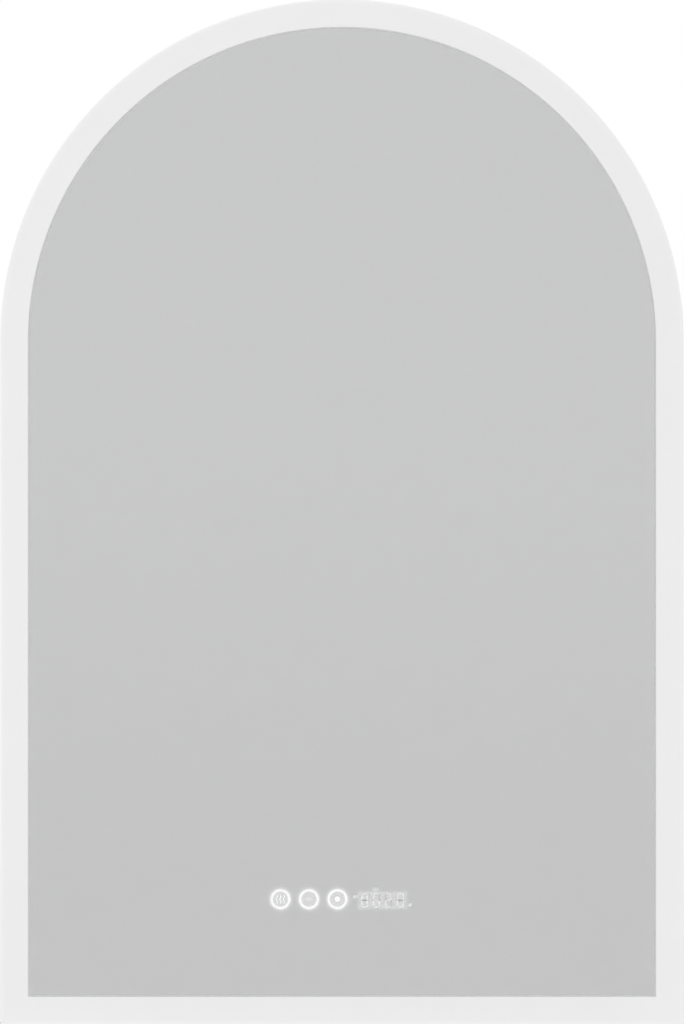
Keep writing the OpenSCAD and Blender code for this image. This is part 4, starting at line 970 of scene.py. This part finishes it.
def makeRivets():
    look = rivetLook
    front, back = rivetLow.y, rivetHigh.y
    seat = back - look["headHeight"]
    shank, tail, dimple = look["shank"], look["tail"], look["dimple"]
    collarWide, collarHigh = look["collar"]
    rimWide, rimDeep = look["dimpleRim"]
    floorWide, floorDeep = look["dimpleFloor"]
    profile = [
        (0.0, front), (tail * look["tailTip"], front), (tail, front + look["tailEdge"]),
        (shank * collarWide, front + look["tailHeight"] * collarHigh),
        (shank, front + look["tailHeight"]), (shank, seat), (rivetHead, seat),
        *[(rivetHead * wide, seat + look["headHeight"] * high) for wide, high in look["dome"]],
        (dimple * rimWide, back), (dimple, back - rimDeep), (dimple * floorWide, back - floorDeep),
        (0.0, back - floorDeep),
    ]
    pitch = (rivetHigh.x - rivetLow.x - 2 * rivetHead) / (look["count"] - 1)
    places = [(rivetLow.x + rivetHead + i * pitch, 0.0, rivetZ) for i in range(look["count"])]
    turnedPiece("domed_rivets", places, profile, "zinc", ["hanger_rivets"], look)


# the middles of a node's separate solids, from its loose parts
def solidMiddles(name):
    shape = bmesh.new()
    shape.from_mesh(nodes[name].data)
    bmesh.ops.remove_doubles(shape, verts=shape.verts, dist=weldGap)
    left = set(shape.verts)
    middles = []
    while left:
        batch = [left.pop()]
        group = []
        while batch:
            vert = batch.pop()
            group.append(vert.co.copy())
            for edge in vert.link_edges:
                other = edge.other_vert(vert)
                if other in left:
                    left.remove(other)
                    batch.append(other)
        low = Vector([min(point[i] for point in group) for i in range(3)])
        high = Vector([max(point[i] for point in group) for i in range(3)])
        middles.append((low + high) / 2)
    shape.free()
    return middles


# the wall bumpers, each with a round edge and a groove in its face
bumperLow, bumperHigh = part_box("wall_bumpers")
bumperLook = {
    "radius": 0.0045,
    "edgeHeight": 0.0006,
    "edgeRound": (0.94, 0.0002),
    "rib": (0.85, 0.62),
    "groove": (0.55, 0.48),
    "grooveDepth": 0.00035,
    "disc": 0.42,
    "steps": 36,
    "sharp": 50.0,
}


def makeBumpers():
    look = bumperLook
    front, back = bumperLow.y, bumperHigh.y
    radius = look["radius"]
    roundWide, roundDeep = look["edgeRound"]
    bottom = back - look["grooveDepth"]
    profile = [
        (0.0, front), (radius, front), (radius, back - look["edgeHeight"]),
        (radius * roundWide, back - roundDeep),
        *[(radius * wide, back) for wide in look["rib"]],
        *[(radius * wide, bottom) for wide in look["groove"]],
        (radius * look["disc"], back), (0.0, back),
    ]
    places = sorted((middle.x, 0.0, middle.z) for middle in solidMiddles("wall_bumpers"))
    turnedPiece("ribbed_bumpers", places, profile, "blackRubber", ["wall_bumpers"], look)


# the grommet: two flanges with round lips and a neck between them
grommetLow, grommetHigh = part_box("cable_grommet")
grommetLook = {
    "bore": 0.0045,
    "neck": 0.0067,
    "flange": 0.0085,
    "lip": 0.0022,
    "boreRound": 0.0005,
    "frontRound": (0.0007, 0.0006),
    "lipRound": 0.0003,
    "rearLipRound": (0.0002, 0.0004),
    "shoulder": (0.0006, 0.0005),
    "faceInset": 0.0015,
    "rearBoreRound": (0.0007, 0.0006),
    "steps": 48,
    "sharp": 50.0,
}


def makeGrommet():
    look = grommetLook
    middle = (grommetLow + grommetHigh) / 2
    front, back = grommetLow.y, grommetHigh.y
    bore, neck, flange = look["bore"], look["neck"], look["flange"]
    frontLip, rearLip = front + look["lip"], back - look["lip"]
    frontIn, frontDeep = look["frontRound"]
    rearIn, rearDeep = look["rearLipRound"]
    shoulderIn, shoulderDeep = look["shoulder"]
    boreOut, boreDeep = look["rearBoreRound"]
    profile = [
        (bore, front + look["boreRound"]), (bore + look["boreRound"], front), (flange - frontIn, front),
        (flange, front + frontDeep), (flange, frontLip - look["lipRound"]),
        (flange - look["lipRound"], frontLip), (neck, frontLip), (neck, rearLip),
        (flange - rearIn, rearLip), (flange, rearLip + rearDeep),
        (flange - shoulderIn, back - shoulderDeep), (flange - look["faceInset"], back),
        (bore + boreOut, back), (bore, back - boreDeep), (bore, front + look["boreRound"]),
    ]
    place = (middle.x, 0.0, middle.z)
    turnedPiece("soft_grommet", [place], profile, "blackRubber", ["cable_grommet"], look)


makeRivets()
makeBumpers()
makeGrommet()
print("turned parts made")

bpy.context.view_layer.update()
